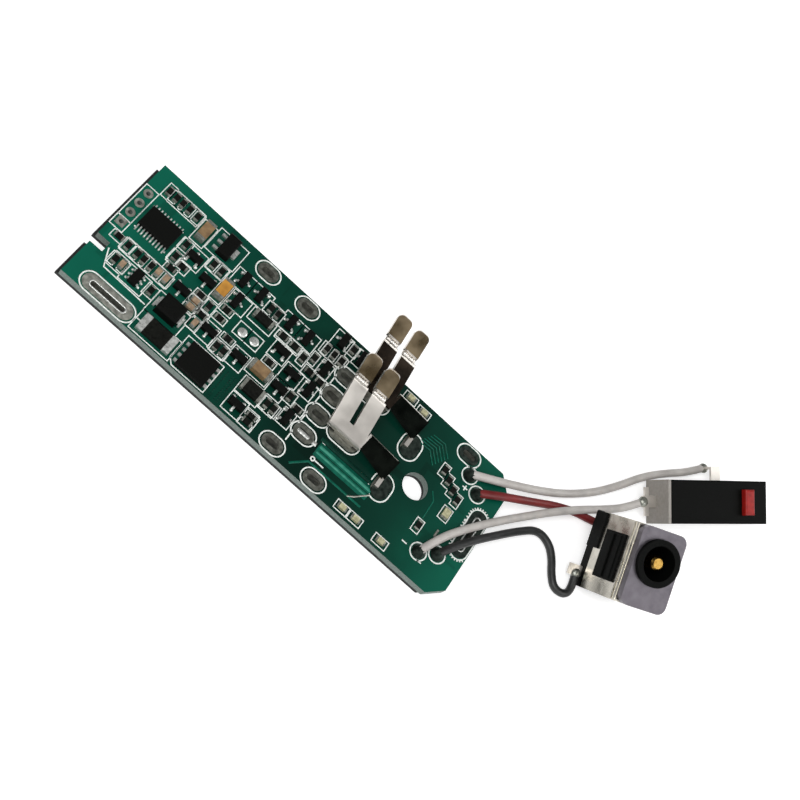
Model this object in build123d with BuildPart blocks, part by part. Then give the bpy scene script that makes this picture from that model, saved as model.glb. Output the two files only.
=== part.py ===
import os
from math import cos, radians, sin, tan

from build123d import *

os.makedirs("parts", exist_ok=True)

# Driving dimensions in mm. The frame's origin is the mounting hole's axis at the underside.
# Places on the board are given from its notched end and from its long centre line.
board_length = 83.0
board_width = 28.5
board_thick = 1.6
corner_cut = 2.9
hole_from_end = 68.2
hole_radius = 2.5
notch_depth = 2.6
notch_width = 2.2
notch_across = -5.6
pad_thick = 0.8
pad_overhang = 0.6
pad_inset = 0.7
land_thick = 0.1

# Wire lands, header and slotted lands
wire_land_radius = 1.3
wire_hole_radius = 0.7
key_land_from_end = 75.2
key_land_across = 9.2
charge_land_from_end = 78.2
charge_land_across = 7.2
header_pitch = 2.54
header_pins = 4
header_from_end = 1.4
header_across = 3.8
header_land_radius = 0.88
header_hole_radius = 0.42
slot_land_length = 4.2
slot_land_width = 2.8
slot_length = 2.6
slot_width = 1.1
cell_land_length = 10.2
cell_land_width = 3.2
cell_slot_length = 7.1
cell_slot_width = 0.9
cell_minus_from_end = 8.3
cell_minus_across = -12.3
cell_plus_from_end = 81.0

# Stamped output terminals
sheet_thick = 0.8
terminal_pitch = 10.0
terminal_across = -2.4
terminal_left = 49.2
blade_width = 7.1
blade_gap = 1.0
blade_root = 1.4
blade_rise = 1.15
blade_tilt = 42.0
blade_length = 8.3
crease_length = 1.0
crease_tilt = 12.0
tip_length = 4.6
tip_tilt = 48.0
tip_inset = 0.1
tip_round = 0.8
bead_radius = 0.6
neck_notch = 0.45
finger_lean = 17.4
left_foot_width = 4.0
wing_reach = 6.25
wing_bend = 2.6
wing_root = 3.1
wing_drop = 1.35
wing_width = 4.2
right_foot_width = 2.2
foot_clear = 0.05
foot_rise = 0.6

# Surface-mounted parts
chip_length = 1.9
chip_width = 0.95
chip_height = 0.5
cap_length = 0.32
large_chip_height = 0.65
seat = 0.02
transistor_length = 2.9
transistor_width = 1.3
transistor_height = 1.0
transistor_pitch = 1.9
transistor_reach = 0.62
lead_thick = 0.14
lead_width = 0.42
lead_exit = 0.5
controller_length = 6.5
controller_width = 4.4
controller_height = 1.05
controller_pitch = 0.65
controller_pins = 20
controller_lead_width = 0.26
controller_reach = 1.05
driver_width = 1.6
driver_pitch = 0.95
regulator_width = 2.5
regulator_length = 4.5
regulator_height = 1.5
regulator_pitch = 1.5
diode_length = 4.3
diode_width = 3.6
diode_height = 2.2
diode_tab_width = 2.1
mosfet_length = 5.9
mosfet_width = 5.4
mosfet_height = 1.05
mosfet_pitch = 1.27
shunt_length = 6.9
shunt_width = 3.3
shunt_height = 0.8
shunt_cap = 1.3

# Key switch, leaning on its front edge and on its back lug
switch_from_end = 115.8
switch_across = 40.6
switch_turn = 42.2
switch_lean = 15.3
switch_length = 23.2
switch_width = 8.2
switch_height = 6.7
switch_wall = 1.0
switch_floor = 1.3
switch_end = 0.6
plunger_along = 6.6
plunger_length = 2.3
plunger_width = 4.9
plunger_proud = 1.1
plunger_clear = 0.06
plunger_travel = 0.6
shoulder = 0.6
blade_clear = 0.2
switch_lug_thick = 0.5
switch_lug_width = 2.2
switch_lug_reach = 3.0
switch_lug_height = 2.4
back_lug_along = 3.5
back_lug_stand = 2.3
back_lug_height = 0.9
lug_bite = 0.3
lug_bar_length = 5.4
lug_bar_width = 0.9

# Charge jack, standing on the edge of its rear end and on a solder leg, with its mouth up
jack_from_end = 104.6
jack_across = 16.3
jack_turn = 25.0
jack_lean = 24.5
jack_depth = 9.2
jack_width = 14.2
jack_base_height = 2.4
jack_shell_top = 14.8
jack_shell_wall = 0.4
jack_body_clear = 0.05
jack_flange_top = 16.5
jack_flange_gap = 0.25
jack_flange_corner = 1.6
fold_width = 0.7
fold_height = 0.9
collar_radius = 4.2
neck_radius = 3.9
collar_proud = 0.9
mouth_radius = 3.1
mouth_along = 1.3
mouth_bottom = 6.5
pin_radius = 1.25
pin_proud = -0.4
spring_height = 6.0
window_width = 8.6
window_height = 4.6
window_bottom = 6.8
ridge_depth = 0.6
tag_width = 2.0
tag_thick = 0.5
tag_reach = 2.6
leg_depth = 1.5
leg_along = 4.5
side_tag_along = -4.5
tag_height = 0.55

# Hook-up wire
wire_radius = 0.75
wire_start_height = 0.85
solder_height = 1.5

board_bottom = pad_thick
board_top = board_bottom + board_thick
half_width = board_width / 2


def spot(from_end, across, z=0.0):
    """Part coordinates of a place given on the board."""
    return (from_end - hole_from_end, across, z)


def turned(from_end, across, z, turn):
    """A placement on the board, turned about the upright."""
    return Location(spot(from_end, across, z), (0, 0, turn))


def leaning(from_end, across, width, turn, lean):
    """Plane of a piece of the given width that leans on its front edge."""
    lift = width / 2 * sin(radians(lean))
    return Plane(turned(from_end, across, lift, turn) * Location((0, 0, 0), (lean, 0, 0)))


def save(piece, name):
    piece.label = name
    export_step(piece, f"parts/{name}.step")


# Places of the lands and slots
switch_lands = [(25.2, 12.2), (34.3, 12.2), (44.2, -12.4), (53.4, -12.4), (73.0, 12.2)]
cell_lands = [(47.3, 7.0), (47.3, 2.3), (47.3, -2.4), (47.3, -7.0)]
slotted = switch_lands + cell_lands
wire_lands = [
    (key_land_from_end, key_land_across),
    (charge_land_from_end, charge_land_across),
    (key_land_from_end, -key_land_across),
    (charge_land_from_end, -charge_land_across),
]
header_places = [
    (header_from_end, header_across + (row - (header_pins - 1) / 2) * header_pitch) for row in range(header_pins)
]
terminal_rows = [terminal_across, terminal_across + terminal_pitch]
left_foot_centre = terminal_left + blade_width / 2 + 0.4
wing_end = terminal_left + blade_width + wing_reach * cos(radians(wing_bend))
right_foot_across = -2.0
left_land = (6.2, 3.0)
right_land = (4.8, 3.4)
right_land_shift = (0.9, -0.3)

# Board outline with its notch and two cut corners
left_end = -hole_from_end
right_end = board_length - hole_from_end
notch_low = notch_across - notch_width / 2
notch_high = notch_across + notch_width / 2


def board_outline(low_x, high_x, low_y, high_y, depth):
    """Outline with an end notch and the far corners cut at 45 degrees."""
    Polyline(
        (low_x, low_y),
        (high_x - corner_cut, low_y),
        (high_x, low_y + corner_cut),
        (high_x, high_y - corner_cut),
        (high_x - corner_cut, high_y),
        (low_x, high_y),
        (low_x, notch_high),
        (low_x + depth, notch_high),
        (low_x + depth, notch_low),
        (low_x, notch_low),
        close=True,
    )


# Circuit board
with BuildPart() as circuit_board:
    with BuildSketch(Plane.XY.offset(board_bottom)):
        with BuildLine():
            board_outline(left_end, right_end, -half_width, half_width, notch_depth)
        make_face()
        with Locations((0, 0)):
            Circle(hole_radius, mode=Mode.SUBTRACT)
        with Locations(*[spot(x, y)[:2] for x, y in header_places]):
            Circle(header_hole_radius, mode=Mode.SUBTRACT)
        with Locations(*[spot(x, y)[:2] for x, y in wire_lands]):
            Circle(wire_hole_radius, mode=Mode.SUBTRACT)
        with Locations(*[spot(x, y)[:2] for x, y in slotted]):
            SlotOverall(slot_length, slot_width, mode=Mode.SUBTRACT)
        with Locations(spot(cell_minus_from_end, cell_minus_across)[:2]):
            SlotOverall(cell_slot_length, cell_slot_width, mode=Mode.SUBTRACT)
        with Locations(spot(cell_plus_from_end, 0)[:2]):
            SlotOverall(cell_slot_length, cell_slot_width, rotation=90, mode=Mode.SUBTRACT)
        for row in terminal_rows:
            with Locations(spot(left_foot_centre, row)[:2]):
                Rectangle(left_foot_width + 2 * foot_clear, sheet_thick + 2 * foot_clear, mode=Mode.SUBTRACT)
            with Locations(spot(wing_end, row + right_foot_across)[:2]):
                Rectangle(sheet_thick + 2 * foot_clear, right_foot_width + 2 * foot_clear, mode=Mode.SUBTRACT)
    extrude(amount=board_thick)
save(circuit_board.part, "circuit_board")

# Insulating sheet under the board, stuck on a little towards the notched end
with BuildPart() as underside_pad:
    with BuildSketch():
        with BuildLine():
            board_outline(left_end - pad_overhang, right_end - pad_inset, -half_width, half_width - pad_inset,
                          notch_depth + pad_overhang)
        make_face()
        Circle(hole_radius, mode=Mode.SUBTRACT)
    extrude(amount=pad_thick)
save(underside_pad.part, "underside_pad")

# Tinned lands round the slots, for the cell tabs and leads
with BuildPart() as slotted_lands:
    with BuildSketch(Plane.XY.offset(board_top)):
        with Locations(*[spot(x, y)[:2] for x, y in slotted]):
            SlotOverall(slot_land_length, slot_land_width)
            SlotOverall(slot_length, slot_width, mode=Mode.SUBTRACT)
        with Locations(spot(cell_minus_from_end, cell_minus_across)[:2]):
            SlotOverall(cell_land_length, cell_land_width)
            SlotOverall(cell_slot_length, cell_slot_width, mode=Mode.SUBTRACT)
        with Locations(spot(cell_plus_from_end, 0)[:2]):
            SlotOverall(cell_land_length, cell_land_width, rotation=90)
            SlotOverall(cell_slot_length, cell_slot_width, rotation=90, mode=Mode.SUBTRACT)
        for row in terminal_rows:
            with Locations(spot(left_foot_centre, row)[:2]):
                SlotOverall(*left_land)
                Rectangle(left_foot_width + 2 * foot_clear, sheet_thick + 2 * foot_clear, mode=Mode.SUBTRACT)
            ahead, aside = right_land_shift
            with Locations(spot(wing_end + ahead, row + right_foot_across + aside)[:2]):
                SlotOverall(*right_land, rotation=90)
            with Locations(spot(wing_end, row + right_foot_across)[:2]):
                Rectangle(sheet_thick + 2 * foot_clear, right_foot_width + 2 * foot_clear, mode=Mode.SUBTRACT)
    extrude(amount=land_thick)
save(slotted_lands.part, "slotted_lands")

# Header lands in a row, the first one square
with BuildPart() as header_lands:
    with BuildSketch(Plane.XY.offset(board_top)):
        with Locations(*[spot(x, y)[:2] for x, y in header_places[1:]]):
            Circle(header_land_radius)
        with Locations(spot(*header_places[0])[:2]):
            Rectangle(2 * header_land_radius, 2 * header_land_radius)
        with Locations(*[spot(x, y)[:2] for x, y in header_places]):
            Circle(header_hole_radius, mode=Mode.SUBTRACT)
    extrude(amount=land_thick)
save(header_lands.part, "header_lands")

# Solder on the four wire lands, a low cone through the hole and round the wire's end
with BuildPart() as wire_solder:
    with BuildSketch(Plane.XZ):
        with BuildLine():
            Polyline(
                (0, board_bottom),
                (wire_hole_radius, board_bottom),
                (wire_hole_radius, board_top),
                (wire_land_radius, board_top),
                (wire_land_radius, board_top + land_thick),
                (wire_radius, board_top + solder_height * 0.7),
                (wire_radius * 0.6, board_top + solder_height),
                (0, board_top + solder_height),
                close=True,
            )
        make_face()
    revolve(axis=Axis.Z)
with BuildPart() as solder_joints:
    with Locations(*[spot(x, y) for x, y in wire_lands]):
        add(wire_solder.part)
save(solder_joints.part, "solder_joints")


# Output terminals, each one stamped from sheet: a tilted blade split into two fingers, with bent
# tips, and a wing on its right that folds down to the second foot
def terminal(row, name):
    """One stamped terminal with its blade's foot in the given row."""
    up = board_top + blade_rise
    steps = [(blade_length, blade_tilt), (crease_length, crease_tilt), (tip_length, tip_tilt)]
    side = [(row, board_bottom), (row, up)]
    for length, tilt in steps:
        y, z = side[-1]
        side.append((y + length * cos(radians(tilt)), z + length * sin(radians(tilt))))
    crease_y = side[-3][0]
    tip_y = side[-1][0]
    x0 = spot(terminal_left, 0)[0]
    lean = tan(radians(finger_lean))
    shift = lambda y: -lean * (y - row)
    far = tip_y + sheet_thick
    near = row - sheet_thick
    foot_left = spot(left_foot_centre, 0)[0] - left_foot_width / 2
    middle = x0 + blade_width / 2
    direction = Vector(0, cos(radians(blade_tilt)), sin(radians(blade_tilt)))
    normal = Vector(0, -sin(radians(blade_tilt)), cos(radians(blade_tilt)))
    wing_x = Vector(1, 0, 0) * cos(radians(wing_bend)) + normal * sin(radians(wing_bend))
    corner = Vector(x0 + blade_width, row, up)
    wing_plane = Plane(origin=corner, x_dir=wing_x, z_dir=wing_x.cross(direction))
    low_end = corner + wing_x * wing_reach - direction * wing_drop
    high_end = low_end + direction * wing_width
    end_x = spot(wing_end, 0)[0]
    foot_y = row + right_foot_across
    with BuildPart() as piece:
        with BuildSketch(Plane.YZ.offset(x0 - tip_length)):
            with BuildLine():
                FilletPolyline(*side, radius=sheet_thick * 0.75)
            trace(line_width=sheet_thick)
            with Locations(((side[-3][0] + side[-2][0]) / 2, (side[-3][1] + side[-2][1]) / 2)):
                Circle(bead_radius)
        extrude(amount=blade_width + 2 * tip_length)
        # The outline from above leans the blade and its fingers towards the notched end
        with BuildSketch(Plane.XY.offset(board_top + blade_rise / 2)) as outline:
            rise = [
                (row, 0),
                (crease_y, 0),
                (crease_y, neck_notch),
                (crease_y + crease_length, neck_notch),
                (crease_y + crease_length, tip_inset),
                (far, tip_inset),
            ]
            right_edge = [(x0 + blade_width - inset + shift(y), y) for y, inset in rise]
            left_edge = [(x0 + inset + shift(y), y) for y, inset in rise]
            with BuildLine():
                Polyline((x0, near), (x0 + blade_width, near), *right_edge, *reversed(left_edge), close=True)
            make_face()
            gap = [
                (row + blade_root, 0),
                (crease_y, 0),
                (crease_y, neck_notch),
                (crease_y + crease_length, neck_notch),
                (crease_y + crease_length, 0),
                (far + 1, 0),
            ]
            gap_right = [(middle + blade_gap / 2 + inset + shift(y), y) for y, inset in gap]
            gap_left = [(middle - blade_gap / 2 - inset + shift(y), y) for y, inset in gap]
            with BuildLine():
                Polyline(*gap_right, *reversed(gap_left), close=True)
            make_face(mode=Mode.SUBTRACT)
            fillet(outline.vertices().group_by(Axis.Y)[-1], radius=tip_round)
        extrude(amount=2 * tip_length + blade_length, mode=Mode.INTERSECT)
        with BuildSketch(Plane.XY.offset(board_bottom)):
            with Locations((foot_left + left_foot_width / 2, row)):
                Rectangle(left_foot_width, sheet_thick)
        extrude(amount=board_thick + blade_rise)
        with BuildSketch(wing_plane):
            with BuildLine():
                Polyline(
                    (-sheet_thick / 2, 0),
                    (0, 0),
                    (wing_reach, -wing_drop),
                    (wing_reach, wing_width - wing_drop),
                    (0, wing_root),
                    (-sheet_thick / 2, wing_root),
                    close=True,
                )
            make_face()
        extrude(amount=sheet_thick / 2, both=True)
        # The folded end of the wing stands on the board and goes through it with its foot
        with BuildSketch(Plane.YZ.offset(end_x - sheet_thick / 2)):
            with BuildLine():
                Polyline(
                    (low_end.Y, board_top + land_thick),
                    (high_end.Y, board_top + land_thick),
                    (high_end.Y, high_end.Z),
                    (low_end.Y, low_end.Z),
                    close=True,
                )
            make_face()
            with Locations((foot_y, board_bottom + (board_thick + foot_rise) / 2)):
                Rectangle(right_foot_width, board_thick + foot_rise)
        extrude(amount=sheet_thick)
    save(piece.part, name)


terminal(terminal_rows[0], "negative_terminal")
terminal(terminal_rows[1], "positive_terminal")


# A formed lead: out of the body's side, down, and flat on its land. Y is the way out.
def formed_lead(reach, exit_height, width):
    """One gull-wing lead whose root is at the body's side."""
    flat = lead_thick / 2
    with BuildPart() as lead:
        with BuildSketch(Plane.YZ.offset(-width / 2)):
            with BuildLine():
                Polyline((0, exit_height), (reach * 0.35, exit_height), (reach * 0.55, flat), (reach, flat))
            trace(line_width=lead_thick)
        extrude(amount=width)
    return lead.part


def lead_places(places, offsets, z=board_top):
    """Placements of leads: each offset is along, across and the lead's own turn on its body."""
    spots = []
    for from_end, across, turn in places:
        base = turned(from_end, across, z, turn)
        for along, out, own in offsets:
            spots.append(base * Location((along, out, 0), (0, 0, own)))
    return spots


def add_bodies(places, length, width, height, lift=0.0):
    """Plain moulded or fired bodies resting at a height over the board."""
    spots = [turned(x, y, board_top + lift, turn) for x, y, turn in places]
    with Locations(*spots):
        Box(length, width, height, align=(Align.CENTER, Align.CENTER, Align.MIN))


def add_caps(places, length, width, height, cap):
    """End caps face to face with the two ends of each body."""
    for side in (-1, 1):
        middle = side * (length + cap) / 2
        spots = [turned(x, y, board_top, turn) * Location((middle, 0, 0)) for x, y, turn in places]
        with Locations(*spots):
            Box(cap, width, height, align=(Align.CENTER, Align.CENTER, Align.MIN))


def moulded_body(length, width, height, draft, from_end, across, turn, lift):
    """A moulded package, its upper edges bevelled all round."""
    plane = Plane(turned(from_end, across, board_top + lift, turn))
    with BuildPart() as body:
        with BuildSketch(plane):
            Rectangle(length, width)
        extrude(amount=height)
        chamfer(body.faces().sort_by(Axis.Z)[-1].edges(), length=draft)
    return body.part


# Transistors: three leads each, the single lead on the body's +Y side before it is turned
transistor_places = [
    (14.3, 4.1, 0), (18.4, 2.4, 180), (16.2, -2.2, 180), (23.0, 7.5, -90), (26.8, 7.5, 90),
    (33.7, 7.4, 90), (37.6, 7.4, -90), (24.3, 3.4, -90), (35.5, 2.0, 0), (39.4, -0.1, 180),
    (24.1, -4.6, 180), (30.7, -4.6, 180), (39.2, -3.8, 180), (35.4, -11.6, 180), (42.8, 11.9, 90),
    (47.3, 11.7, 90), (43.3, 5.1, -90), (43.3, -0.1, -90), (43.3, -7.0, -90),
]
with BuildPart() as transistor_bodies:
    for x, y, turn in transistor_places:
        add(moulded_body(transistor_length, transistor_width, transistor_height, 0.15, x, y, turn, lead_thick))
save(transistor_bodies.part, "transistor_bodies")

transistor_lead = formed_lead(transistor_reach, lead_exit, lead_width)
three_leads = [
    (0, transistor_width / 2, 0),
    (-transistor_pitch / 2, -transistor_width / 2, 180),
    (transistor_pitch / 2, -transistor_width / 2, 180),
]
with BuildPart() as transistor_leads:
    with Locations(*lead_places(transistor_places, three_leads)):
        add(transistor_lead)
save(transistor_leads.part, "transistor_leads")

# Microcontroller with its two rows of leads
controller_place = (6.75, 3.8, 0)
controller = moulded_body(controller_length, controller_width, controller_height, 0.12, *controller_place, lead_thick)
save(controller, "microcontroller")
row_pins = controller_pins // 2
controller_offsets = []
for pin in range(row_pins):
    along = (pin - (row_pins - 1) / 2) * controller_pitch
    controller_offsets.append((along, controller_width / 2, 0))
    controller_offsets.append((along, -controller_width / 2, 180))
with BuildPart() as microcontroller_leads:
    with Locations(*lead_places([controller_place], controller_offsets)):
        add(formed_lead(controller_reach, lead_exit, controller_lead_width))
save(microcontroller_leads.part, "microcontroller_leads")

# Driver chip, six leads
driver_place = (9.5, -6.4, 90)
driver = moulded_body(transistor_length, driver_width, transistor_height, 0.15, *driver_place, lead_thick)
save(driver, "driver_chip")
driver_offsets = []
for pin in (-1, 0, 1):
    driver_offsets.append((pin * driver_pitch, driver_width / 2, 0))
    driver_offsets.append((pin * driver_pitch, -driver_width / 2, 180))
with BuildPart() as driver_chip_leads:
    with Locations(*lead_places([driver_place], driver_offsets)):
        add(transistor_lead)
save(driver_chip_leads.part, "driver_chip_leads")

# Voltage regulator, three leads on one side and its wide tab on the other
regulator_place = (17.3, 10.1, 90)
regulator = moulded_body(regulator_length, regulator_width, regulator_height, 0.2, *regulator_place, seat)
save(regulator, "voltage_regulator")
with BuildPart() as regulator_leads:
    base = turned(*regulator_place[:2], board_top, regulator_place[2])
    for pin in (-1, 0, 1):
        with Locations(base * Location((pin * regulator_pitch, regulator_width / 2 + 0.5, 0))):
            Box(0.5, 1.0, 0.4, align=(Align.CENTER, Align.CENTER, Align.MIN))
    with Locations(base * Location((0, -regulator_width / 2 - 0.4, 0))):
        Box(1.9, 0.8, 0.4, align=(Align.CENTER, Align.CENTER, Align.MIN))
save(regulator_leads.part, "regulator_leads")

# Protection diode with a folded tab at each end
diode_place = (17.2, -6.9, 0)
diode = moulded_body(diode_length, diode_width, diode_height, 0.35, *diode_place, seat)
save(diode, "protection_diode")
diode_tab = formed_lead(0.75, 0.9, diode_tab_width)
with BuildPart() as diode_tabs:
    with Locations(*lead_places([diode_place], [(diode_length / 2, 0, -90), (-diode_length / 2, 0, 90)])):
        add(diode_tab)
save(diode_tabs.part, "diode_tabs")

# Power transistor with four short leads on each side
mosfet_place = (26.35, -10.9, 0)
mosfet = moulded_body(mosfet_length, mosfet_width, mosfet_height, 0.1, *mosfet_place, seat)
save(mosfet, "power_mosfet")
with BuildPart() as power_mosfet_leads:
    for side in (-1, 1):
        for pin in range(4):
            along = (pin - 1.5) * mosfet_pitch
            place = turned(*mosfet_place[:2], board_top, 0) * Location((side * (mosfet_length + 0.6) / 2, along, 0))
            with Locations(place):
                Box(0.6, 0.6, 0.25, align=(Align.CENTER, Align.CENTER, Align.MIN))
save(power_mosfet_leads.part, "power_mosfet_leads")

# Current shunt
shunt_place = [(18.2, -11.6, 0)]
shunt_body_length = shunt_length - 2 * shunt_cap
with BuildPart() as shunt_resistor:
    add_bodies(shunt_place, shunt_body_length, shunt_width, shunt_height)
save(shunt_resistor.part, "shunt_resistor")
with BuildPart() as shunt_caps:
    add_caps(shunt_place, shunt_body_length, shunt_width, shunt_height, shunt_cap)
save(shunt_caps.part, "shunt_caps")

# Chip resistors: the long ones stand along the board's width at a turn of 90
resistor_places = [
    (3.7, 10.7, 90), (5.3, 10.7, 90), (6.7, 10.7, 90), (8.2, 10.7, 90), (10.0, 10.7, 90),
    (11.8, 5.0, 90), (11.8, 1.9, 90), (5.0, -2.7, 90), (7.0, -2.7, 90), (8.4, -2.7, 90),
    (10.0, -2.7, 90), (17.4, 5.8, 90), (19.2, 5.8, 90), (5.0, -6.2, 90), (12.7, -6.2, 90),
    (29.6, 7.0, 90), (31.1, 7.0, 90), (21.5, -1.0, 90), (26.7, -5.7, 90), (28.1, -5.7, 90),
    (39.1, 3.9, 90), (40.7, 5.4, 90), (39.3, -7.5, 90), (40.7, -7.5, 90), (41.6, -3.5, 90),
    (41.4, 8.6, 90), (43.0, 8.6, 90), (44.7, 8.6, 90), (45.1, 12.1, 90), (70.9, 6.4, 90),
    (72.5, 5.3, 90), (74.1, 4.3, 90), (75.7, 3.4, 90), (72.5, -5.5, 90),
    (2.9, -2.5, 0), (12.6, -0.4, 0), (13.8, 1.3, 0), (19.2, -0.4, 0), (24.1, 0.8, 0),
    (24.1, -1.3, 0), (34.2, 4.5, 0), (36.8, 4.5, 0), (35.2, -1.2, 0), (27.4, -3.2, 0),
    (38.6, -11.3, 0), (38.6, -12.6, 0), (41.5, 2.6, 0), (44.0, 2.5, 0), (43.8, -4.4, 0),
    (21.5, -3.2, 0),
]
chip_body = chip_length - 2 * cap_length
with BuildPart() as chip_resistors:
    add_bodies(resistor_places, chip_body, chip_width, chip_height)
save(chip_resistors.part, "chip_resistors")
with BuildPart() as chip_resistor_caps:
    add_caps(resistor_places, chip_body, chip_width, chip_height, cap_length)
save(chip_resistor_caps.part, "chip_resistor_caps")

# The two larger resistors
sense_places = [(29.8, 4.3, 0)]
divider_places = [(36.0, -7.5, 0)]
with BuildPart() as power_resistors:
    add_bodies(sense_places, 2.9, 1.7, large_chip_height)
    add_bodies(divider_places, 3.0, 2.5, large_chip_height)
save(power_resistors.part, "power_resistors")
with BuildPart() as power_resistor_caps:
    add_caps(sense_places, 2.9, 1.7, large_chip_height, 0.6)
    add_caps(divider_places, 3.0, 2.5, large_chip_height, 0.6)
save(power_resistor_caps.part, "power_resistor_caps")

# Small ceramic capacitors
capacitor_places = [
    (6.4, -6.2, 90), (11.5, -2.7, 90), (13.2, -2.7, 90), (19.2, -2.0, 0), (19.2, -3.5, 0), (21.5, -5.3, 90),
]
with BuildPart() as chip_capacitors:
    add_bodies(capacitor_places, chip_body, chip_width, large_chip_height)
save(chip_capacitors.part, "chip_capacitors")
with BuildPart() as chip_capacitor_caps:
    add_caps(capacitor_places, chip_body, chip_width, large_chip_height, cap_length)
save(chip_capacitor_caps.part, "chip_capacitor_caps")

# Large ceramic capacitors: brown, orange and tan, and the cream one by the wires
bulk_places = [(12.6, 9.3, 90), (21.35, 3.1, 90), (34.9, -3.8, 0)]
with BuildPart() as bulk_capacitors:
    add_bodies(bulk_places, 2.9, 1.9, 1.3)
save(bulk_capacitors.part, "bulk_capacitors")
with BuildPart() as bulk_capacitor_caps:
    add_caps(bulk_places, 2.9, 1.9, 1.3, 0.6)
save(bulk_capacitor_caps.part, "bulk_capacitor_caps")

# Charge indicators along the edges
indicator_places = [(60.0, -12.7, 0), (63.0, -12.7, 0), (68.7, -12.7, 0), (58.4, 12.8, 0), (61.8, 12.3, 0)]
with BuildPart() as indicator_lights:
    add_bodies(indicator_places, chip_body, chip_width, large_chip_height)
    add_bodies([(75.4, -0.1, 90)], 1.6, 1.3, large_chip_height)
save(indicator_lights.part, "indicator_lights")
with BuildPart() as indicator_caps:
    add_caps(indicator_places, chip_body, chip_width, chip_height, cap_length)
    add_caps([(75.4, -0.1, 90)], 1.6, 1.3, chip_height, cap_length)
save(indicator_caps.part, "indicator_caps")

# Key switch: X along its length, Z up, on its own plane
switch_plane = leaning(switch_from_end, switch_across, switch_width, switch_turn, switch_lean)
roof_low = switch_height - switch_wall
slot_along = plunger_length + 2 * plunger_clear
slot_across = plunger_width + 2 * plunger_clear


def switch_level(z):
    return switch_plane.offset(z)


# Base: the floor and the pale end block that the key terminal comes out of
with BuildPart() as switch_base:
    with BuildSketch(switch_plane):
        with Locations((-switch_end / 2, 0)):
            Rectangle(switch_length + switch_end, switch_width)
    extrude(amount=switch_floor)
    with BuildSketch(switch_level(switch_floor)):
        with Locations((-(switch_length + switch_end) / 2, 0)):
            Rectangle(switch_end, switch_width)
    extrude(amount=switch_height - switch_floor)
    # Post for the spring blade
    with BuildSketch(switch_level(switch_floor)):
        with Locations((-switch_length / 4, 0)):
            Rectangle(2.0, 3.0)
    extrude(amount=blade_clear)
save(switch_base.part, "switch_base")

with BuildPart() as switch_housing:
    with BuildSketch(switch_level(switch_floor)):
        Rectangle(switch_length, switch_width)
    extrude(amount=switch_height - switch_floor)
    fillet(switch_housing.faces().sort_by(Axis.Z)[-1].edges(), radius=0.3)
    with BuildSketch(switch_level(switch_floor)):
        Rectangle(switch_length - 2 * switch_wall, switch_width - 2 * switch_wall)
    extrude(amount=roof_low - switch_floor, mode=Mode.SUBTRACT)
    with BuildSketch(switch_level(roof_low)):
        with Locations((plunger_along, 0)):
            Rectangle(slot_along, slot_across)
    extrude(amount=switch_wall, mode=Mode.SUBTRACT)
save(switch_housing.part, "switch_housing")

# Plunger with the shoulder that keeps it in, and a stem down to the blade
blade_top = switch_floor + blade_clear + 0.3
stem_low = blade_top + plunger_travel + 0.1
with BuildPart() as switch_plunger:
    with BuildSketch(switch_level(stem_low)):
        with Locations((plunger_along, 0)):
            Rectangle(plunger_length, plunger_width)
    extrude(amount=switch_height + plunger_proud - stem_low)
    fillet(switch_plunger.faces().sort_by(Axis.Z)[-1].edges(), radius=0.4)
    with BuildSketch(switch_level(roof_low - plunger_clear - shoulder)):
        with Locations((plunger_along, 0)):
            Rectangle(plunger_length + 2 * shoulder, plunger_width + 2 * shoulder)
    extrude(amount=shoulder)
save(switch_plunger.part, "switch_plunger")

# Spring blade inside, fixed on its post and reaching under the plunger
with BuildPart() as switch_blade:
    with BuildSketch(switch_level(switch_floor + blade_clear)):
        with Locations((0.5 * (plunger_along - switch_length / 4), 0)):
            Rectangle(plunger_along + switch_length / 4 + 2.0, 2.4)
    extrude(amount=0.3)
save(switch_blade.part, "switch_blade")

# Two solder lugs: one out of the pale end, one out of the back wall and bent down to the floor,
# which holds the back edge up
end_face = -switch_length / 2 - switch_end
with BuildPart() as switch_lugs:
    with BuildSketch(switch_level(switch_lug_height)):
        with Locations((end_face - switch_lug_reach / 2, 0)):
            Rectangle(switch_lug_reach, switch_lug_width)
        # Cross bar that the wire is hooked round
        with Locations((end_face - switch_lug_reach + 0.5 + lug_bar_width / 2, 0)):
            Rectangle(lug_bar_width, lug_bar_length)
    extrude(amount=switch_lug_thick)
    leg_far = switch_width / 2 + back_lug_stand + switch_lug_thick
    leg_end = -(switch_width / 2 + leg_far - switch_lug_thick) * tan(radians(switch_lean))
    with BuildSketch(switch_level(back_lug_height)):
        with Locations((back_lug_along, (switch_width / 2 + leg_far) / 2)):
            Rectangle(switch_lug_width, leg_far - switch_width / 2)
    extrude(amount=switch_lug_thick)
    with BuildSketch(switch_level(leg_end)):
        with Locations((back_lug_along, leg_far - switch_lug_thick / 2)):
            Rectangle(switch_lug_width, switch_lug_thick)
    extrude(amount=back_lug_height - leg_end)
save(switch_lugs.part, "switch_lugs")

# Charge jack: X across its depth, Y along its width, Z along its mouth
jack_plane = leaning(jack_from_end, jack_across, jack_width, jack_turn, jack_lean)


def jack_level(z):
    return jack_plane.offset(z)


mouth_place = (0, mouth_along)
body_depth = jack_depth - 2 * jack_shell_wall - 2 * jack_body_clear
body_width = jack_width - 2 * jack_shell_wall - 2 * jack_body_clear
flange_low = jack_shell_top + jack_flange_gap

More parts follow.
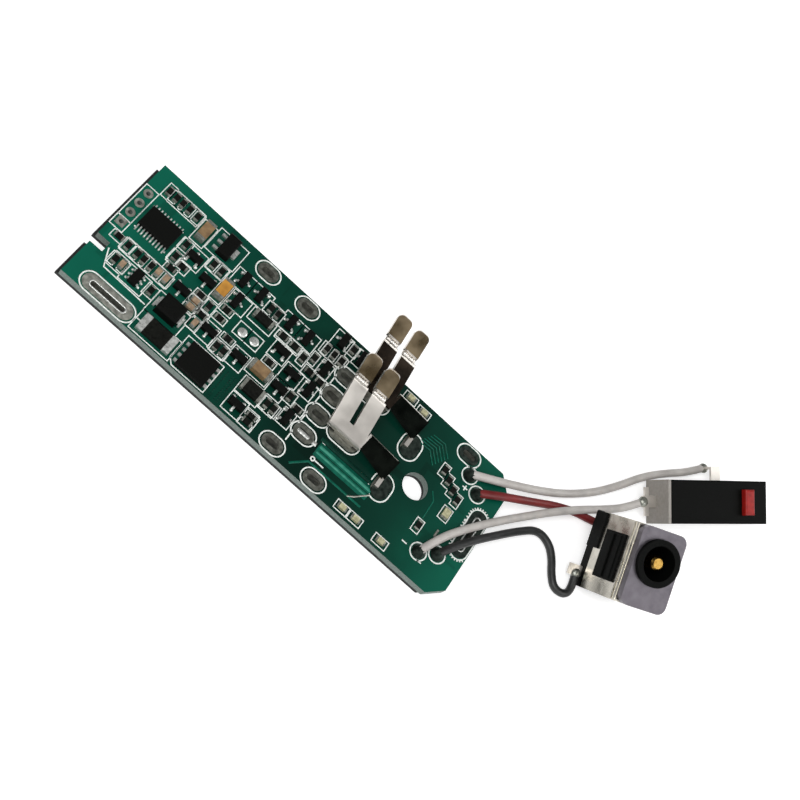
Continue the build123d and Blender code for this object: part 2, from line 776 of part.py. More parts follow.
# Moulded body: wide foot, block inside the shell, and the round collar of the mouth
with BuildPart() as jack_body:
    with BuildSketch(jack_plane):
        Rectangle(jack_depth, jack_width)
    extrude(amount=jack_base_height)
    with BuildSketch(jack_level(jack_base_height)):
        Rectangle(body_depth, body_width)
    extrude(amount=flange_low - jack_base_height)
    with BuildSketch(jack_level(flange_low)):
        with Locations(mouth_place):
            Circle(neck_radius)
    extrude(amount=jack_flange_top - flange_low)
    with BuildSketch(jack_level(jack_flange_top)):
        with Locations(mouth_place):
            Circle(collar_radius)
    extrude(amount=collar_proud)
    with BuildSketch(jack_level(mouth_bottom)):
        with Locations(mouth_place):
            Circle(mouth_radius)
    extrude(amount=jack_flange_top + collar_proud - mouth_bottom, mode=Mode.SUBTRACT)
    # Seat of the centre pin, down through the foot
    with BuildSketch(jack_plane):
        with Locations(mouth_place):
            Circle(pin_radius)
    extrude(amount=mouth_bottom, mode=Mode.SUBTRACT)
    # Step that shows in the shell's window
    with BuildSketch(jack_level(window_bottom - 0.4)):
        with Locations((-body_depth / 2, 0)):
            Rectangle(2 * ridge_depth, window_width + 0.8)
    extrude(amount=window_height / 2, mode=Mode.SUBTRACT)
save(jack_body.part, "jack_body")

with BuildPart() as jack_pin:
    with BuildSketch(jack_plane):
        with Locations(mouth_place):
            Circle(pin_radius)
    extrude(amount=jack_flange_top + collar_proud + pin_proud)
    chamfer(jack_pin.faces().sort_by(Axis.Z)[-1].edges(), length=0.35)
save(jack_pin.part, "jack_pin")

# Folded metal shell round the block, with its window
with BuildPart() as jack_shell:
    with BuildSketch(jack_level(jack_base_height)):
        Rectangle(jack_depth, jack_width)
        Rectangle(jack_depth - 2 * jack_shell_wall, jack_width - 2 * jack_shell_wall, mode=Mode.SUBTRACT)
    extrude(amount=jack_shell_top - jack_base_height)
    with BuildSketch(jack_level(window_bottom)):
        with Locations((-jack_depth / 2, 0)):
            Rectangle(4 * jack_shell_wall, window_width)
    extrude(amount=window_height, mode=Mode.SUBTRACT)
save(jack_shell.part, "jack_shell")

# Flange: a flat plate with round corners, its hole round the collar's neck
with BuildPart() as jack_flange:
    with BuildSketch(jack_level(flange_low)):
        RectangleRounded(jack_depth, jack_width, jack_flange_corner)
        with Locations(mouth_place):
            Circle(neck_radius, mode=Mode.SUBTRACT)
    extrude(amount=jack_flange_top - flange_low)
save(jack_flange.part, "jack_flange")

# Side spring of the mouth, standing on its floor
with BuildPart() as jack_spring:
    with BuildSketch(jack_level(mouth_bottom)):
        with Locations((0, mouth_along - mouth_radius + 0.3)):
            Rectangle(1.6, 0.25)
    extrude(amount=spring_height)
save(jack_spring.part, "jack_spring")

# Two solder tags: one out of the side towards the board, and a leg from the rear end to the floor
tag_face = -jack_depth / 2
leg_length = (jack_width / 2 + leg_along - tag_width / 2) * tan(radians(jack_lean))
with BuildPart() as jack_tags:
    with BuildSketch(jack_level(tag_height)):
        with Locations((tag_face - tag_reach / 2, side_tag_along)):
            Rectangle(tag_reach, tag_width)
    extrude(amount=tag_thick)
    with BuildSketch(jack_level(-leg_length)):
        with Locations((leg_depth, leg_along)):
            Rectangle(tag_thick, tag_width)
    extrude(amount=leg_length)
save(jack_tags.part, "jack_tags")


# Hook-up wires: places along each centre line, the two ends at solder and at a lug or tag
def on_plane(plane, along, across, up):
    """Part coordinates of a point given on a placed plane."""
    point = plane.from_local_coords(Vector(along, across, up))
    return (point.X, point.Y, point.Z)


def over_floor(stops):
    return [spot(*stop) for stop in stops]


wire_start = board_top + wire_start_height
lug_centre = switch_lug_height + switch_lug_thick / 2
tag_centre = tag_height + tag_thick / 2
end_lug_tip = on_plane(switch_plane, end_face - switch_lug_reach + lug_bite, 0, lug_centre)
back_lug_side = on_plane(
    switch_plane, back_lug_along - switch_lug_width / 2 + lug_bite, leg_far - switch_lug_thick / 2, leg_end / 2
)
leg_side = on_plane(jack_plane, leg_depth - tag_thick / 2 + lug_bite, leg_along, -leg_length * 0.6)
side_tag_edge = on_plane(jack_plane, tag_face - 0.9, side_tag_along - tag_width / 2 + lug_bite, tag_centre)

routes = {
    "switch_wire_back": [
        spot(*wire_lands[0], wire_start),
        *over_floor([
            (78.7, 10.9, 3.6), (83.1, 13.5, 3.6), (87.2, 16.6, 2.5), (91.9, 20.6, 1.2), (96.8, 25.6, 0.8),
            (100.6, 31.0, 0.8), (103.6, 36.2, 0.8), (107.2, 40.6, 0.8), (110.9, 44.2, 1.1),
        ]),
        back_lug_side,
    ],
    "switch_wire_end": [
        spot(*wire_lands[2], wire_start),
        *over_floor([
            (76.4, -5.9, 3.7), (78.4, -2.2, 3.7), (81.1, 1.8, 3.4), (84.3, 6.2, 3.1), (88.3, 11.5, 1.6),
            (91.6, 15.2, 2.5), (95.7, 19.6, 2.5), (100.2, 24.2, 1.3), (103.8, 27.9, 1.5),
        ]),
        end_lug_tip,
    ],
    "charge_wire_red": [
        spot(*wire_lands[1], wire_start),
        *over_floor([
            (81.0, 9.0, 3.9), (84.6, 11.6, 3.5), (88.4, 15.0, 1.6), (92.1, 17.9, 0.8), (96.0, 19.9, 0.8),
            (100.0, 21.0, 0.8),
        ]),
        leg_side,
    ],
    "charge_wire_black": [
        spot(*wire_lands[3], wire_start),
        *over_floor([
            (79.9, -4.0, 3.7), (82.2, -0.6, 3.6), (85.0, 3.2, 3.1), (88.4, 7.9, 1.3), (91.6, 11.4, 0.8),
            (94.8, 10.9, 0.8), (96.8, 8.9, 0.8), (98.1, 6.5, 0.8), (99.9, 4.5, 0.8), (102.3, 4.9, 0.8),
            (102.85, 7.0, 0.9),
        ]),
        side_tag_edge,
    ],
}


def bend_radii(stops):
    """Largest easy radius at each bend, from the shorter run beside it and the turn."""
    radii = []
    for before, here, after in zip(stops, stops[1:], stops[2:]):
        into = Vector(*here) - Vector(*before)
        out = Vector(*after) - Vector(*here)
        turn = radians(max(into.get_angle(out), 1.0))
        radii.append(0.45 * min(into.length, out.length) / tan(turn / 2))
    return radii


for name, stops in routes.items():
    radii = bend_radii(stops)
    with BuildPart() as wire:
        with BuildLine():
            path = FilletPolyline(*stops, radius=radii)
        with BuildSketch(Plane(origin=path @ 0, z_dir=path % 0)):
            Circle(wire_radius)
        sweep()
    length = path.length
    expected = 3.14159 * wire_radius**2 * length
    print(name, "length", round(length, 1), "least radius", round(min(radii), 1),
          "volume", round(wire.part.volume / expected, 3))
    save(wire.part, name)
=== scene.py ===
import math

import bmesh
import bpy
from mathutils import Euler, Matrix, Vector


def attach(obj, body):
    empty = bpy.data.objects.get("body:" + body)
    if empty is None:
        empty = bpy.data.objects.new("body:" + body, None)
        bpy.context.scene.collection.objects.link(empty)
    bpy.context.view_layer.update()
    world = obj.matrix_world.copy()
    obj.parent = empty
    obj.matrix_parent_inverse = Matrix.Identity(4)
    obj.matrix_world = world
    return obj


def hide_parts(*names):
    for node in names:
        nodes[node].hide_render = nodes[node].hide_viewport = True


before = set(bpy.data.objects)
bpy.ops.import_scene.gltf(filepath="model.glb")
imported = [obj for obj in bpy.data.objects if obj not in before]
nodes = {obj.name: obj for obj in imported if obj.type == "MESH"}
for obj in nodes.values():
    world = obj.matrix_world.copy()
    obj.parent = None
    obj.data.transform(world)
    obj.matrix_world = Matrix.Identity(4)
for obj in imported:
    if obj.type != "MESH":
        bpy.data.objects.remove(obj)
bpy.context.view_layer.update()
mm = 0.001
# Points of one solid that are nearer than this are one point
weldGap = 0.001 * mm

# Places on the board are given from its notched end and from its long centre line, in mm
board = {
    "holeFromEnd": 68.2,
    "length": 83.0,
    "top": 2.4,
    "half": 14.25,
    # Faces whose normal stands up this much show the lacquer
    "flatNormal": 0.3,
    # Walls this near the outline, or this near the screw hole's axis, are bare laminate
    "notchedEndWall": 3.6,
    "wireEndWall": 3.2,
    "sideWall": 0.2,
    "screwHoleWall": 2.7,
    # The plus slot's walls are soldered: its place from the end, half its width and half its length, with room
    "plusSlot": (81.0, 1.5, 5.0),
}


def place(fromEnd, across, up=0.0):
    return Vector(((fromEnd - board["holeFromEnd"]) * mm, across * mm, up * mm))


def toLinear(hexColour):
    channels = [int(hexColour[i : i + 2], 16) / 255 for i in (1, 3, 5)]
    return tuple(c / 12.92 if c <= 0.04045 else ((c + 0.055) / 1.055) ** 2.4 for c in channels) + (1.0,)


# Settings go to the node or to its inputs; links give an input's name and the output that feeds it
def addNode(tree, kind, settings=None, links=None):
    node = tree.nodes.new(kind)
    for key, value in (settings or {}).items():
        if isinstance(key, str) and hasattr(node, key):
            setattr(node, key, value)
        else:
            node.inputs[key].default_value = value
    for key, source in (links or {}).items():
        tree.links.new(source, node.inputs[key])
    return node


def newMaterial(name, settings):
    material = bpy.data.materials.new(name)
    material.use_nodes = True
    shader = material.node_tree.nodes["Principled BSDF"]
    for key, value in settings.items():
        shader.inputs[key].default_value = value
    return material, material.node_tree, shader


def objectPoint(tree, scale=(1, 1, 1)):
    coords = addNode(tree, "ShaderNodeTexCoord")
    mapping = addNode(tree, "ShaderNodeMapping", {"Scale": scale}, {"Vector": coords.outputs["Object"]})
    return mapping.outputs["Vector"]


def colourRamp(tree, source, stops):
    ramp = addNode(tree, "ShaderNodeValToRGB", links={"Fac": source})
    elements = ramp.color_ramp.elements
    while len(elements) < len(stops):
        elements.new(0.5)
    for element, (position, colour) in zip(elements, stops):
        element.position = position
        element.color = toLinear(colour)
    return ramp.outputs["Color"]


def bumpFrom(tree, shader, height, strength, depth):
    bump = addNode(tree, "ShaderNodeBump", {"Strength": strength, "Distance": depth}, {"Height": height})
    tree.links.new(bump.outputs["Normal"], shader.inputs["Normal"])


# One noise over the surface, its size in mm: colour between the stops, a roughness range and a fine bump
def grainMaterial(name, stops, size, settings, roughness=None, bump=(0.1, 0.00002), stretch=(1, 1, 1)):
    material, tree, shader = newMaterial(name, settings)
    point = objectPoint(tree, stretch)
    noise = addNode(tree, "ShaderNodeTexNoise", {"Scale": 1 / (size * mm), "Detail": 3.0}, {"Vector": point})
    tree.links.new(colourRamp(tree, noise.outputs["Fac"], stops), shader.inputs["Base Color"])
    if roughness:
        ranged = addNode(
            tree,
            "ShaderNodeMapRange",
            {"From Min": 0.3, "From Max": 0.7, "To Min": roughness[0], "To Max": roughness[1]},
            {"Value": noise.outputs["Fac"]},
        )
        tree.links.new(ranged.outputs["Result"], shader.inputs["Roughness"])
    bumpFrom(tree, shader, noise.outputs["Fac"], *bump)
    return material


# Solder mask: glossy green lacquer; where copper lies under it the green is lighter
def makeSolderMask():
    material, tree, shader = newMaterial("solderMaskGreen", {"Roughness": 0.25, "Specular IOR Level": 0.15})
    point = objectPoint(tree)
    cloud = addNode(tree, "ShaderNodeTexNoise", {"Scale": 55.0, "Detail": 2.0}, {"Vector": point})
    # Copper areas about 6 mm across, with straight cell-like edges
    copper = addNode(tree, "ShaderNodeTexVoronoi", {"distance": "CHEBYCHEV", "Scale": 160.0}, {"Vector": point})
    mixed = addNode(tree, "ShaderNodeMix", {"data_type": "RGBA", "Factor": 0.35})
    tree.links.new(
        colourRamp(tree, cloud.outputs["Fac"], [(0.3, "#06493a"), (0.62, "#0a5c48"), (0.8, "#0f745a")]), mixed.inputs[6]
    )
    tree.links.new(
        colourRamp(tree, copper.outputs["Distance"], [(0.0, "#0c6450"), (0.55, "#0a5947"), (0.6, "#063c30")]),
        mixed.inputs[7],
    )
    # Painted reflection: darker in the middle, lighter towards both ends
    parts = addNode(tree, "ShaderNodeSeparateXYZ", links={"Vector": point})
    along = addNode(
        tree,
        "ShaderNodeMapRange",
        {"From Min": -board["holeFromEnd"] * mm, "From Max": (board["length"] - board["holeFromEnd"]) * mm},
        {"Value": parts.outputs["X"]},
    )
    shade = colourRamp(
        tree,
        along.outputs["Result"],
        [(0.0, "#ffffff"), (0.3, "#aeaeae"), (0.6, "#6a6a6a"), (0.85, "#9e9e9e"), (1.0, "#f0f0f0")],
    )
    shaded = addNode(tree, "ShaderNodeMix", {"data_type": "RGBA", "blend_type": "MULTIPLY", 0: 1.0})
    tree.links.new(mixed.outputs[2], shaded.inputs[6])
    tree.links.new(shade, shaded.inputs[7])
    tree.links.new(shaded.outputs[2], shader.inputs["Base Color"])
    fine = addNode(tree, "ShaderNodeTexNoise", {"Scale": 2500.0}, {"Vector": point})
    bumpFrom(tree, shader, fine.outputs["Fac"], 0.05, 0.00002)
    return material


# Nickel over brass strip: bright, a little warm, with faint rolling lines and handling marks
def makeNickel(name, dark, light, roughness):
    material, tree, shader = newMaterial(name, {"Metallic": 1.0, "Roughness": roughness[0]})
    point = objectPoint(tree, (1, 1, 12))
    lines = addNode(tree, "ShaderNodeTexNoise", {"Scale": 900.0, "Detail": 4.0}, {"Vector": point})
    marks = addNode(tree, "ShaderNodeTexNoise", {"Scale": 260.0, "Detail": 3.0}, {"Vector": objectPoint(tree)})
    tree.links.new(colourRamp(tree, marks.outputs["Fac"], [(0.3, dark), (0.6, light)]), shader.inputs["Base Color"])
    ranged = addNode(
        tree,
        "ShaderNodeMapRange",
        {"From Min": 0.35, "From Max": 0.65, "To Min": roughness[0], "To Max": roughness[1]},
        {"Value": marks.outputs["Fac"]},
    )
    tree.links.new(ranged.outputs["Result"], shader.inputs["Roughness"])
    bumpFrom(tree, shader, lines.outputs["Fac"], 0.08, 0.00002)
    return material


lacquer = {"Roughness": 0.25, "Specular IOR Level": 0.15}
wavySolder = {"settings": {"Metallic": 0.85}, "roughness": (0.28, 0.5), "bump": (0.35, 0.00006)}
materials = {
    "mask": makeSolderMask(),
    # Edge of the laminate: woven glass in resin, grey-green
    "edge": grainMaterial(
        "glassLaminateEdge", [(0.35, "#56645e"), (0.65, "#828d87")], 0.35, {"Roughness": 0.6}, stretch=(1, 1, 6)
    ),
    # Screen-printed white ink: matt, a little uneven in tone
    "ink": grainMaterial(
        "screenPrintedInk", [(0.3, "#c9cfca"), (0.6, "#eceeea")], 0.6, {"Roughness": 0.75}, bump=(0.1, 0.00001)
    ),
    # Laminated insulating paper under the board: matt, nearly black
    "pad": grainMaterial(
        "fibreInsulator", [(0.3, "#141615"), (0.7, "#262928")], 0.5, {"Roughness": 0.85}, bump=(0.3, 0.00005)
    ),
    # Hot-air levelled solder: soft silver, slightly wavy
    "tin": grainMaterial("levelledSolder", [(0.3, "#a2a39a"), (0.7, "#cbccc1")], 0.8, **wavySolder),
    # The same solder with painted darker reflection, on the lands that mirror the dark side of the room; the second one
    # darker still
    "tinShaded": grainMaterial("levelledSolderShaded", [(0.3, "#5f615a"), (0.7, "#8a8c83")], 0.8, **wavySolder),
    "tinPaintedDarkerReflection": grainMaterial("levelledSolderPaintedDarkerReflection", [(0.3, "#222c28"), (0.7, "#414b45")], 0.8, **wavySolder),
    # Solder on joints and leads: bright, rounder waves
    "solder": grainMaterial(
        "solderFillet",
        [(0.3, "#c2c4c0"), (0.7, "#eef0ec")],
        0.6,
        {"Metallic": 0.7},
        roughness=(0.22, 0.42),
        bump=(0.3, 0.00008),
    ),
    # Plated ends of the chips, dull and greyed by the flux
    "capTin": grainMaterial(
        "dullTinnedEnd",
        [(0.3, "#85877f"), (0.7, "#b4b6ad")],
        0.4,
        {"Metallic": 0.9},
        roughness=(0.35, 0.55),
        bump=(0.3, 0.00004),
    ),
    # The same lacquer: lighter over copper, darker over bare laminate
    "maskCopper": grainMaterial("solderMaskOverCopper", [(0.3, "#256f5d"), (0.7, "#46917c")], 1.2, lacquer),
    "maskDark": grainMaterial("solderMaskOverBareLaminate", [(0.3, "#04261e"), (0.7, "#063529")], 1.2, lacquer),
    "maskTrace": grainMaterial("solderMaskOverTrace", [(0.3, "#0a4a3b"), (0.7, "#10604d")], 1.2, lacquer),
    # Moulded epoxy: black, fine matt grain from the mould
    "epoxy": grainMaterial(
        "mouldedEpoxy",
        [(0.3, "#080908"), (0.7, "#121311")],
        0.12,
        {"Roughness": 0.55, "Specular IOR Level": 0.06},
        roughness=(0.45, 0.65),
        bump=(0.25, 0.00002),
    ),
    # Chip resistor top: glazed black film
    "film": grainMaterial(
        "glazedFilm",
        [(0.3, "#0d0e0c"), (0.7, "#1a1b18")],
        0.5,
        {"Roughness": 0.35, "Specular IOR Level": 0.08},
        bump=(0.1, 0.00002),
    ),
    # Fired ceramic of the capacitors: tan, brown or amber, faintly mottled
    "ceramicTan": grainMaterial("firedCeramicTan", [(0.3, "#7a6450"), (0.7, "#a18a70")], 0.5, {"Roughness": 0.45}),
    "ceramicBrown": grainMaterial("firedCeramicBrown", [(0.3, "#6a5238"), (0.7, "#8d7350")], 1.2, {"Roughness": 0.45}),
    "ceramicAmber": grainMaterial("firedCeramicAmber", [(0.3, "#9c6a24"), (0.7, "#c08a36")], 1.5, {"Roughness": 0.4}),
    # Cast resin over the lights: yellowish, with a glossy skin
    "clearResin": grainMaterial(
        "castClearResin",
        [(0.3, "#8f8b6c"), (0.7, "#bcb995")],
        0.6,
        {"Roughness": 0.25, "Coat Weight": 0.4, "Coat Roughness": 0.1},
    ),
    # Plated strip of the terminals, lugs and tags: bright and a little warm
    "nickel": makeNickel("nickelPlatedStrip", "#d0cbc4", "#e2ddd6", (0.36, 0.46)),
    # The same strip with painted dark reflection: the foot plates almost black, the rear blade brown; and the tips
    # bronze
    "nickelPaintedDarkReflection": makeNickel("paintedDarkReflectionStrip", "#0e110f", "#1d211d", (0.22, 0.34)),
    "nickelShaded": makeNickel("paintedDarkReflectionBlade", "#1f1b18", "#3d352e", (0.26, 0.38)),
    # Bronze tone for the fingers' tips
    "nickelBronze": makeNickel("bronzeToneStrip", "#75654b", "#a8967a", (0.26, 0.38)),
    # Plated sheet of the jack's shell: blotchier
    "nickelShell": makeNickel("nickelPlatedShell", "#a9a59b", "#d8d4ca", (0.22, 0.36)),
    # Satin plate of the jack's flange: greyer and softer than the shell
    "flange": grainMaterial(
        "satinNickelPlate",
        [(0.3, "#59555b"), (0.7, "#747076")],
        2.2,
        {"Metallic": 0.85},
        roughness=(0.34, 0.5),
        bump=(0.15, 0.00003),
    ),
    # Turned brass pin and stamped brass springs: smooth and golden
    "brass": grainMaterial(
        "turnedBrass",
        [(0.3, "#7d5f2c"), (0.7, "#b8954f")],
        0.5,
        {"Metallic": 1.0},
        roughness=(0.14, 0.3),
        bump=(0.1, 0.00002),
    ),
    # Moulded phenolic of the jack: dull black
    "phenolic": grainMaterial(
        "mouldedPhenolicBlack",
        [(0.3, "#060706"), (0.7, "#0d0e0d")],
        0.3,
        {"Roughness": 0.5, "Specular IOR Level": 0.05},
        roughness=(0.45, 0.6),
        bump=(0.3, 0.00003),
    ),
    # Moulded nylon of the switch: grey base and black cover, both satin
    "switchBase": grainMaterial(
        "mouldedNylonGrey", [(0.3, "#86817b"), (0.7, "#918c86")], 0.6, {"Roughness": 0.5}, bump=(0.2, 0.00003)
    ),
    "switchCover": grainMaterial(
        "mouldedNylonBlack",
        [(0.3, "#050605"), (0.7, "#0b0c0b")],
        0.35,
        {"Roughness": 0.42, "Specular IOR Level": 0.04},
        roughness=(0.35, 0.5),
        bump=(0.3, 0.00003),
    ),
    # Moulded acetal plunger: waxy red
    "plunger": grainMaterial(
        "mouldedAcetalRed",
        [(0.3, "#7d1411"), (0.7, "#9c1d18")],
        0.8,
        {"Roughness": 0.35, "Coat Weight": 0.05, "Specular IOR Level": 0.2},
        bump=(0.1, 0.00002),
    ),
}


# Wire insulation: extruded vinyl, satin, its colour a little uneven along the length
def makeVinyl(name, dark, light):
    return grainMaterial(
        name, [(0.3, dark), (0.7, light)], 2.4, {"IOR": 1.5}, roughness=(0.38, 0.55), bump=(0.12, 0.00004)
    )


materials["vinylWhite"] = makeVinyl("extrudedVinylWhite", "#a6a19d", "#bab6b1")
materials["vinylRed"] = makeVinyl("extrudedVinylRed", "#5e1213", "#781a1a")
materials["vinylBlack"] = makeVinyl("extrudedVinylBlack", "#1a1b1b", "#2b2c2c")


def finish(key, *names):
    for name in names:
        slots = nodes[name].data.materials
        slots.clear()
        slots.append(materials[key])


finish("pad", "underside_pad")
finish("tin", "slotted_lands", "header_lands")
finish("solder", "solder_joints", "transistor_leads", "microcontroller_leads", "driver_chip_leads")
finish("solder", "regulator_leads", "diode_tabs", "power_mosfet_leads", "shunt_caps")
finish("capTin", "power_resistor_caps", "chip_capacitor_caps", "bulk_capacitor_caps", "indicator_caps")
finish("capTin", "chip_resistor_caps")
finish("nickel", "switch_lugs", "jack_tags")
finish("epoxy", "transistor_bodies", "microcontroller", "driver_chip", "voltage_regulator")
finish("epoxy", "protection_diode", "power_mosfet")
finish("film", "shunt_resistor", "chip_resistors", "power_resistors")
finish("ceramicTan", "chip_capacitors")
finish("ceramicBrown", "bulk_capacitors")
finish("clearResin", "indicator_lights")
finish("switchBase", "switch_base")
finish("switchCover", "switch_housing")
finish("plunger", "switch_plunger")
finish("brass", "switch_blade", "jack_pin", "jack_spring")
finish("phenolic", "jack_body")
finish("nickelShell", "jack_shell")
finish("flange", "jack_flange")


# More finishes along the board, each between two places from the notched end
def finishAlong(name, *bands):
    mesh = nodes[name].data
    for key, _, _ in bands:
        mesh.materials.append(materials[key])
    for face in mesh.polygons:
        fromEnd = face.center.x / mm + board["holeFromEnd"]
        inBands = [number for number, (_, start, end) in enumerate(bands, 1) if start < fromEnd <= end]
        face.material_index = inBands[0] if inBands else 0


# Painted reflection: lands and their joints get darker from the notched end to the wires; the middle bulk capacitor is
# amber
landReflectionBands = (("tinShaded", 20.0, 62.0), ("tinPaintedDarkerReflection", 62.0, math.inf))
finishAlong("slotted_lands", *landReflectionBands)
finishAlong("solder_joints", *landReflectionBands)
finishAlong("bulk_capacitors", ("ceramicAmber", 17.0, 24.0))


# Board: bare laminate on the outer edges and in the screw hole, solder on the walls of the slots
def finishBoard():
    mesh = nodes["circuit_board"].data
    mesh.materials.clear()
    for key in ("mask", "edge", "tin"):
        mesh.materials.append(materials[key])
    for face in mesh.polygons:
        if abs(face.normal.z) > board["flatNormal"]:
            face.material_index = 0
            continue
        x, y = face.center.x / mm + board["holeFromEnd"], face.center.y / mm
        atEnd = x < board["notchedEndWall"] or x > board["length"] - board["wireEndWall"]
        outer = atEnd or abs(y) > board["half"] - board["sideWall"]
        inHole = math.hypot(x - board["holeFromEnd"], y) < board["screwHoleWall"]
        slotX, slotHalfWidth, slotHalfLength = board["plusSlot"]
        inPlusSlot = abs(x - slotX) < slotHalfWidth and abs(y) < slotHalfLength
        face.material_index = 1 if (outer or inHole) and not inPlusSlot else 2


# Prisms that take the corners off the fingers' tips, in the plane of the tips
def makeCornerCutter(name, row):
    tilt, lean = math.radians(terminal["tipTilt"]), math.tan(math.radians(terminal["fingerLean"]))
    along = Vector((0, math.cos(tilt), math.sin(tilt)))
    out = Vector((0, -math.sin(tilt), math.cos(tilt)))
    slant = lean * math.cos(tilt)
    side = math.hypot(1, slant)
    radius, reach, aside = terminal["round"], terminal["cutterReach"], terminal["cutterAside"]
    shape = bmesh.new()
    for cornerX, sign in terminal["tipCorners"]:
        centre = (cornerX + sign * (side + sign * slant) * radius, -radius)
        # The arc runs from the tip's end to the finger's edge, which leans
        sweep = sign * (math.pi / 2 + sign * math.atan(slant))
        steps = range(terminal["arcSteps"] + 1)
        arc = [math.pi / 2 + sweep * step / terminal["arcSteps"] for step in steps]
        outline = [(centre[0] + radius * math.cos(a), centre[1] + radius * math.sin(a)) for a in arc]
        outer = outline[-1][0] - sign * aside
        outline += [(outer, outline[-1][1]), (outer, reach), (centre[0], reach)]
        end = Vector((0, row + terminal["tipEnd"][0], terminal["tipEnd"][1]))
        levels = []
        for depth in (-reach, reach):
            spots = [end + Vector((u, 0, 0)) + along * v + out * depth for u, v in outline]
            levels.append([shape.verts.new(spot * mm) for spot in spots])
        low, high = levels
        shape.faces.new(low)
        shape.faces.new(list(reversed(high)))
        for a in range(len(low)):
            b = (a + 1) % len(low)
            shape.faces.new((low[b], low[a], high[a], high[b]))
    bmesh.ops.recalc_face_normals(shape, faces=shape.faces)
    mesh = bpy.data.meshes.new(name)
    shape.to_mesh(mesh)
    shape.free()
    cutter = bpy.data.objects.new(name, mesh)
    bpy.context.scene.collection.objects.link(cutter)
    return cutter


# Terminals: round corners on the fingers, bright cut edges, painted dark reflection on the foot plate, bronze tips over
# the bead
def finishTerminal(name, row, bladeKey):
    cutter = makeCornerCutter(name + "Cutter", row)
    mesh = nodes[name].data.copy()
    shape = bmesh.new()
    shape.from_mesh(mesh)
    bmesh.ops.remove_doubles(shape, verts=shape.verts, dist=weldGap)
    shape.to_mesh(mesh)
    shape.free()
    whole = bpy.data.objects.new(name + "Whole", mesh)
    bpy.context.scene.collection.objects.link(whole)
    cut = whole.modifiers.new("corners", "BOOLEAN")
    cut.operation = "DIFFERENCE"
    cut.solver = "MANIFOLD"
    cut.object = cutter
    bpy.context.view_layer.update()
    mesh = bpy.data.meshes.new_from_object(whole.evaluated_get(bpy.context.evaluated_depsgraph_get()))
    bpy.data.objects.remove(whole)
    bpy.data.objects.remove(cutter)
    strip = bpy.data.objects.new(name + "Strip", mesh)
    bpy.context.scene.collection.objects.link(strip)
    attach(strip, "board")
    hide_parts(name)
    mesh.materials.clear()
    for key in ("nickel", "nickelPaintedDarkReflection", "nickelBronze", bladeKey):
        mesh.materials.append(materials[key])
    for face in mesh.polygons:
        face.use_smooth = False
        cutEdge = face.normal.y * face.normal.z >= terminal["sheetSlope"]
        onFoot = face.center.x / mm > terminal["bladeRight"]
        height = face.center.z / mm
        onTip, onBead = height > terminal["beadTop"], height > terminal["beadBottom"]
        # The last one is the blade
        face.material_index = 0 if cutEdge else 1 if onFoot else 2 if onTip else 0 if onBead else 3


terminal = {
    # Each one's row across the board, and the finish of its blade; the rear blade's finish has painted dark reflection
    "rows": [("negative_terminal", -2.4, "nickel"), ("positive_terminal", 7.6, "nickelShaded")],
    # The foot plate starts here along the board; the bead lies between these heights over the floor
    "bladeRight": 56.4 - board["holeFromEnd"],
    "beadBottom": 8.6,
    "beadTop": 9.9,
    # Faces of the sheet lean back, cut edges don't: the product of a normal's Y and Z tells them apart
    "sheetSlope": -0.3,
    # Degrees: the tips' tilt from level, the fingers' lean along the board
    "tipTilt": 48.0,
    "fingerLean": 17.4,
    # Middle of the tips' end: across the board from the terminal's row, and over the floor
    "tipEnd": (10.22, 12.73),
    # Corners of the two tips along the board from the screw hole, and the side on which the metal lies
    "tipCorners": [(-22.04, 1), (-19.06, -1), (-18.06, 1), (-15.11, -1)],
    "round": 0.95,
    # How far a cutter reaches past the metal, and aside: less than half the gap between the fingers
    "cutterReach": 1.5,
    "cutterAside": 0.42,
    "arcSteps": 6,
}
finishBoard()
for terminalRow in terminal["rows"]:
    finishTerminal(*terminalRow)
print("frame loaded and its nodes finished")

# Wires: the same places as the solids' routes, from the board's joint to the lug or tag
wires = {
    "diameter": 1.5,
    "order": 3,
    "stepsAlong": 12,
    "stepsRound": 6,
    "routes": {
        "switch_wire_back": {
            "colour": "vinylWhite",
            "stops": [
                (75.2, 9.2, 3.25), (78.7, 10.9, 3.6), (83.1, 13.5, 3.6), (87.2, 16.6, 2.5), (91.9, 20.6, 1.2),
                (96.8, 25.6, 0.8), (100.6, 31.0, 0.8), (103.6, 36.2, 0.8), (107.2, 40.6, 0.8), (110.9, 44.2, 1.1),
                (113.24, 47.45, 1.45),
            ],
        },
        "switch_wire_end": {
            "colour": "vinylWhite",
            "stops": [
                (75.2, -9.2, 3.25), (76.4, -5.9, 3.7), (78.4, -2.2, 3.7), (81.1, 1.8, 3.4), (84.3, 6.2, 3.1),
                (88.3, 11.5, 1.6), (91.6, 15.2, 2.5), (95.7, 19.6, 2.5), (100.2, 24.2, 1.3), (103.8, 27.9, 1.5),
                (105.23, 30.07, 3.64),
            ],
        },
        "charge_wire_red": {
            "colour": "vinylRed",
            "stops": [
                (78.2, 7.2, 3.25), (81.0, 9.0, 3.9), (84.6, 11.6, 3.5), (88.4, 15.0, 1.6), (92.1, 17.9, 0.8),
                (96.0, 19.9, 0.8), (100.0, 21.0, 0.8), (103.77, 21.76, 2.17),
            ],
        },
        "charge_wire_black": {
            "colour": "vinylBlack",
            "stops": [
                (78.2, -7.2, 3.25), (79.9, -4.0, 3.7), (82.2, -0.6, 3.6), (85.0, 3.2, 3.1), (88.4, 7.9, 1.3),
                (91.6, 11.4, 0.8), (94.8, 10.9, 0.8), (96.8, 8.9, 0.8), (98.1, 6.5, 0.8), (99.9, 4.5, 0.8),
                (102.3, 4.9, 0.8), (102.85, 7.0, 0.9), (101.76, 9.39, 1.52),
            ],
        },
    },
}


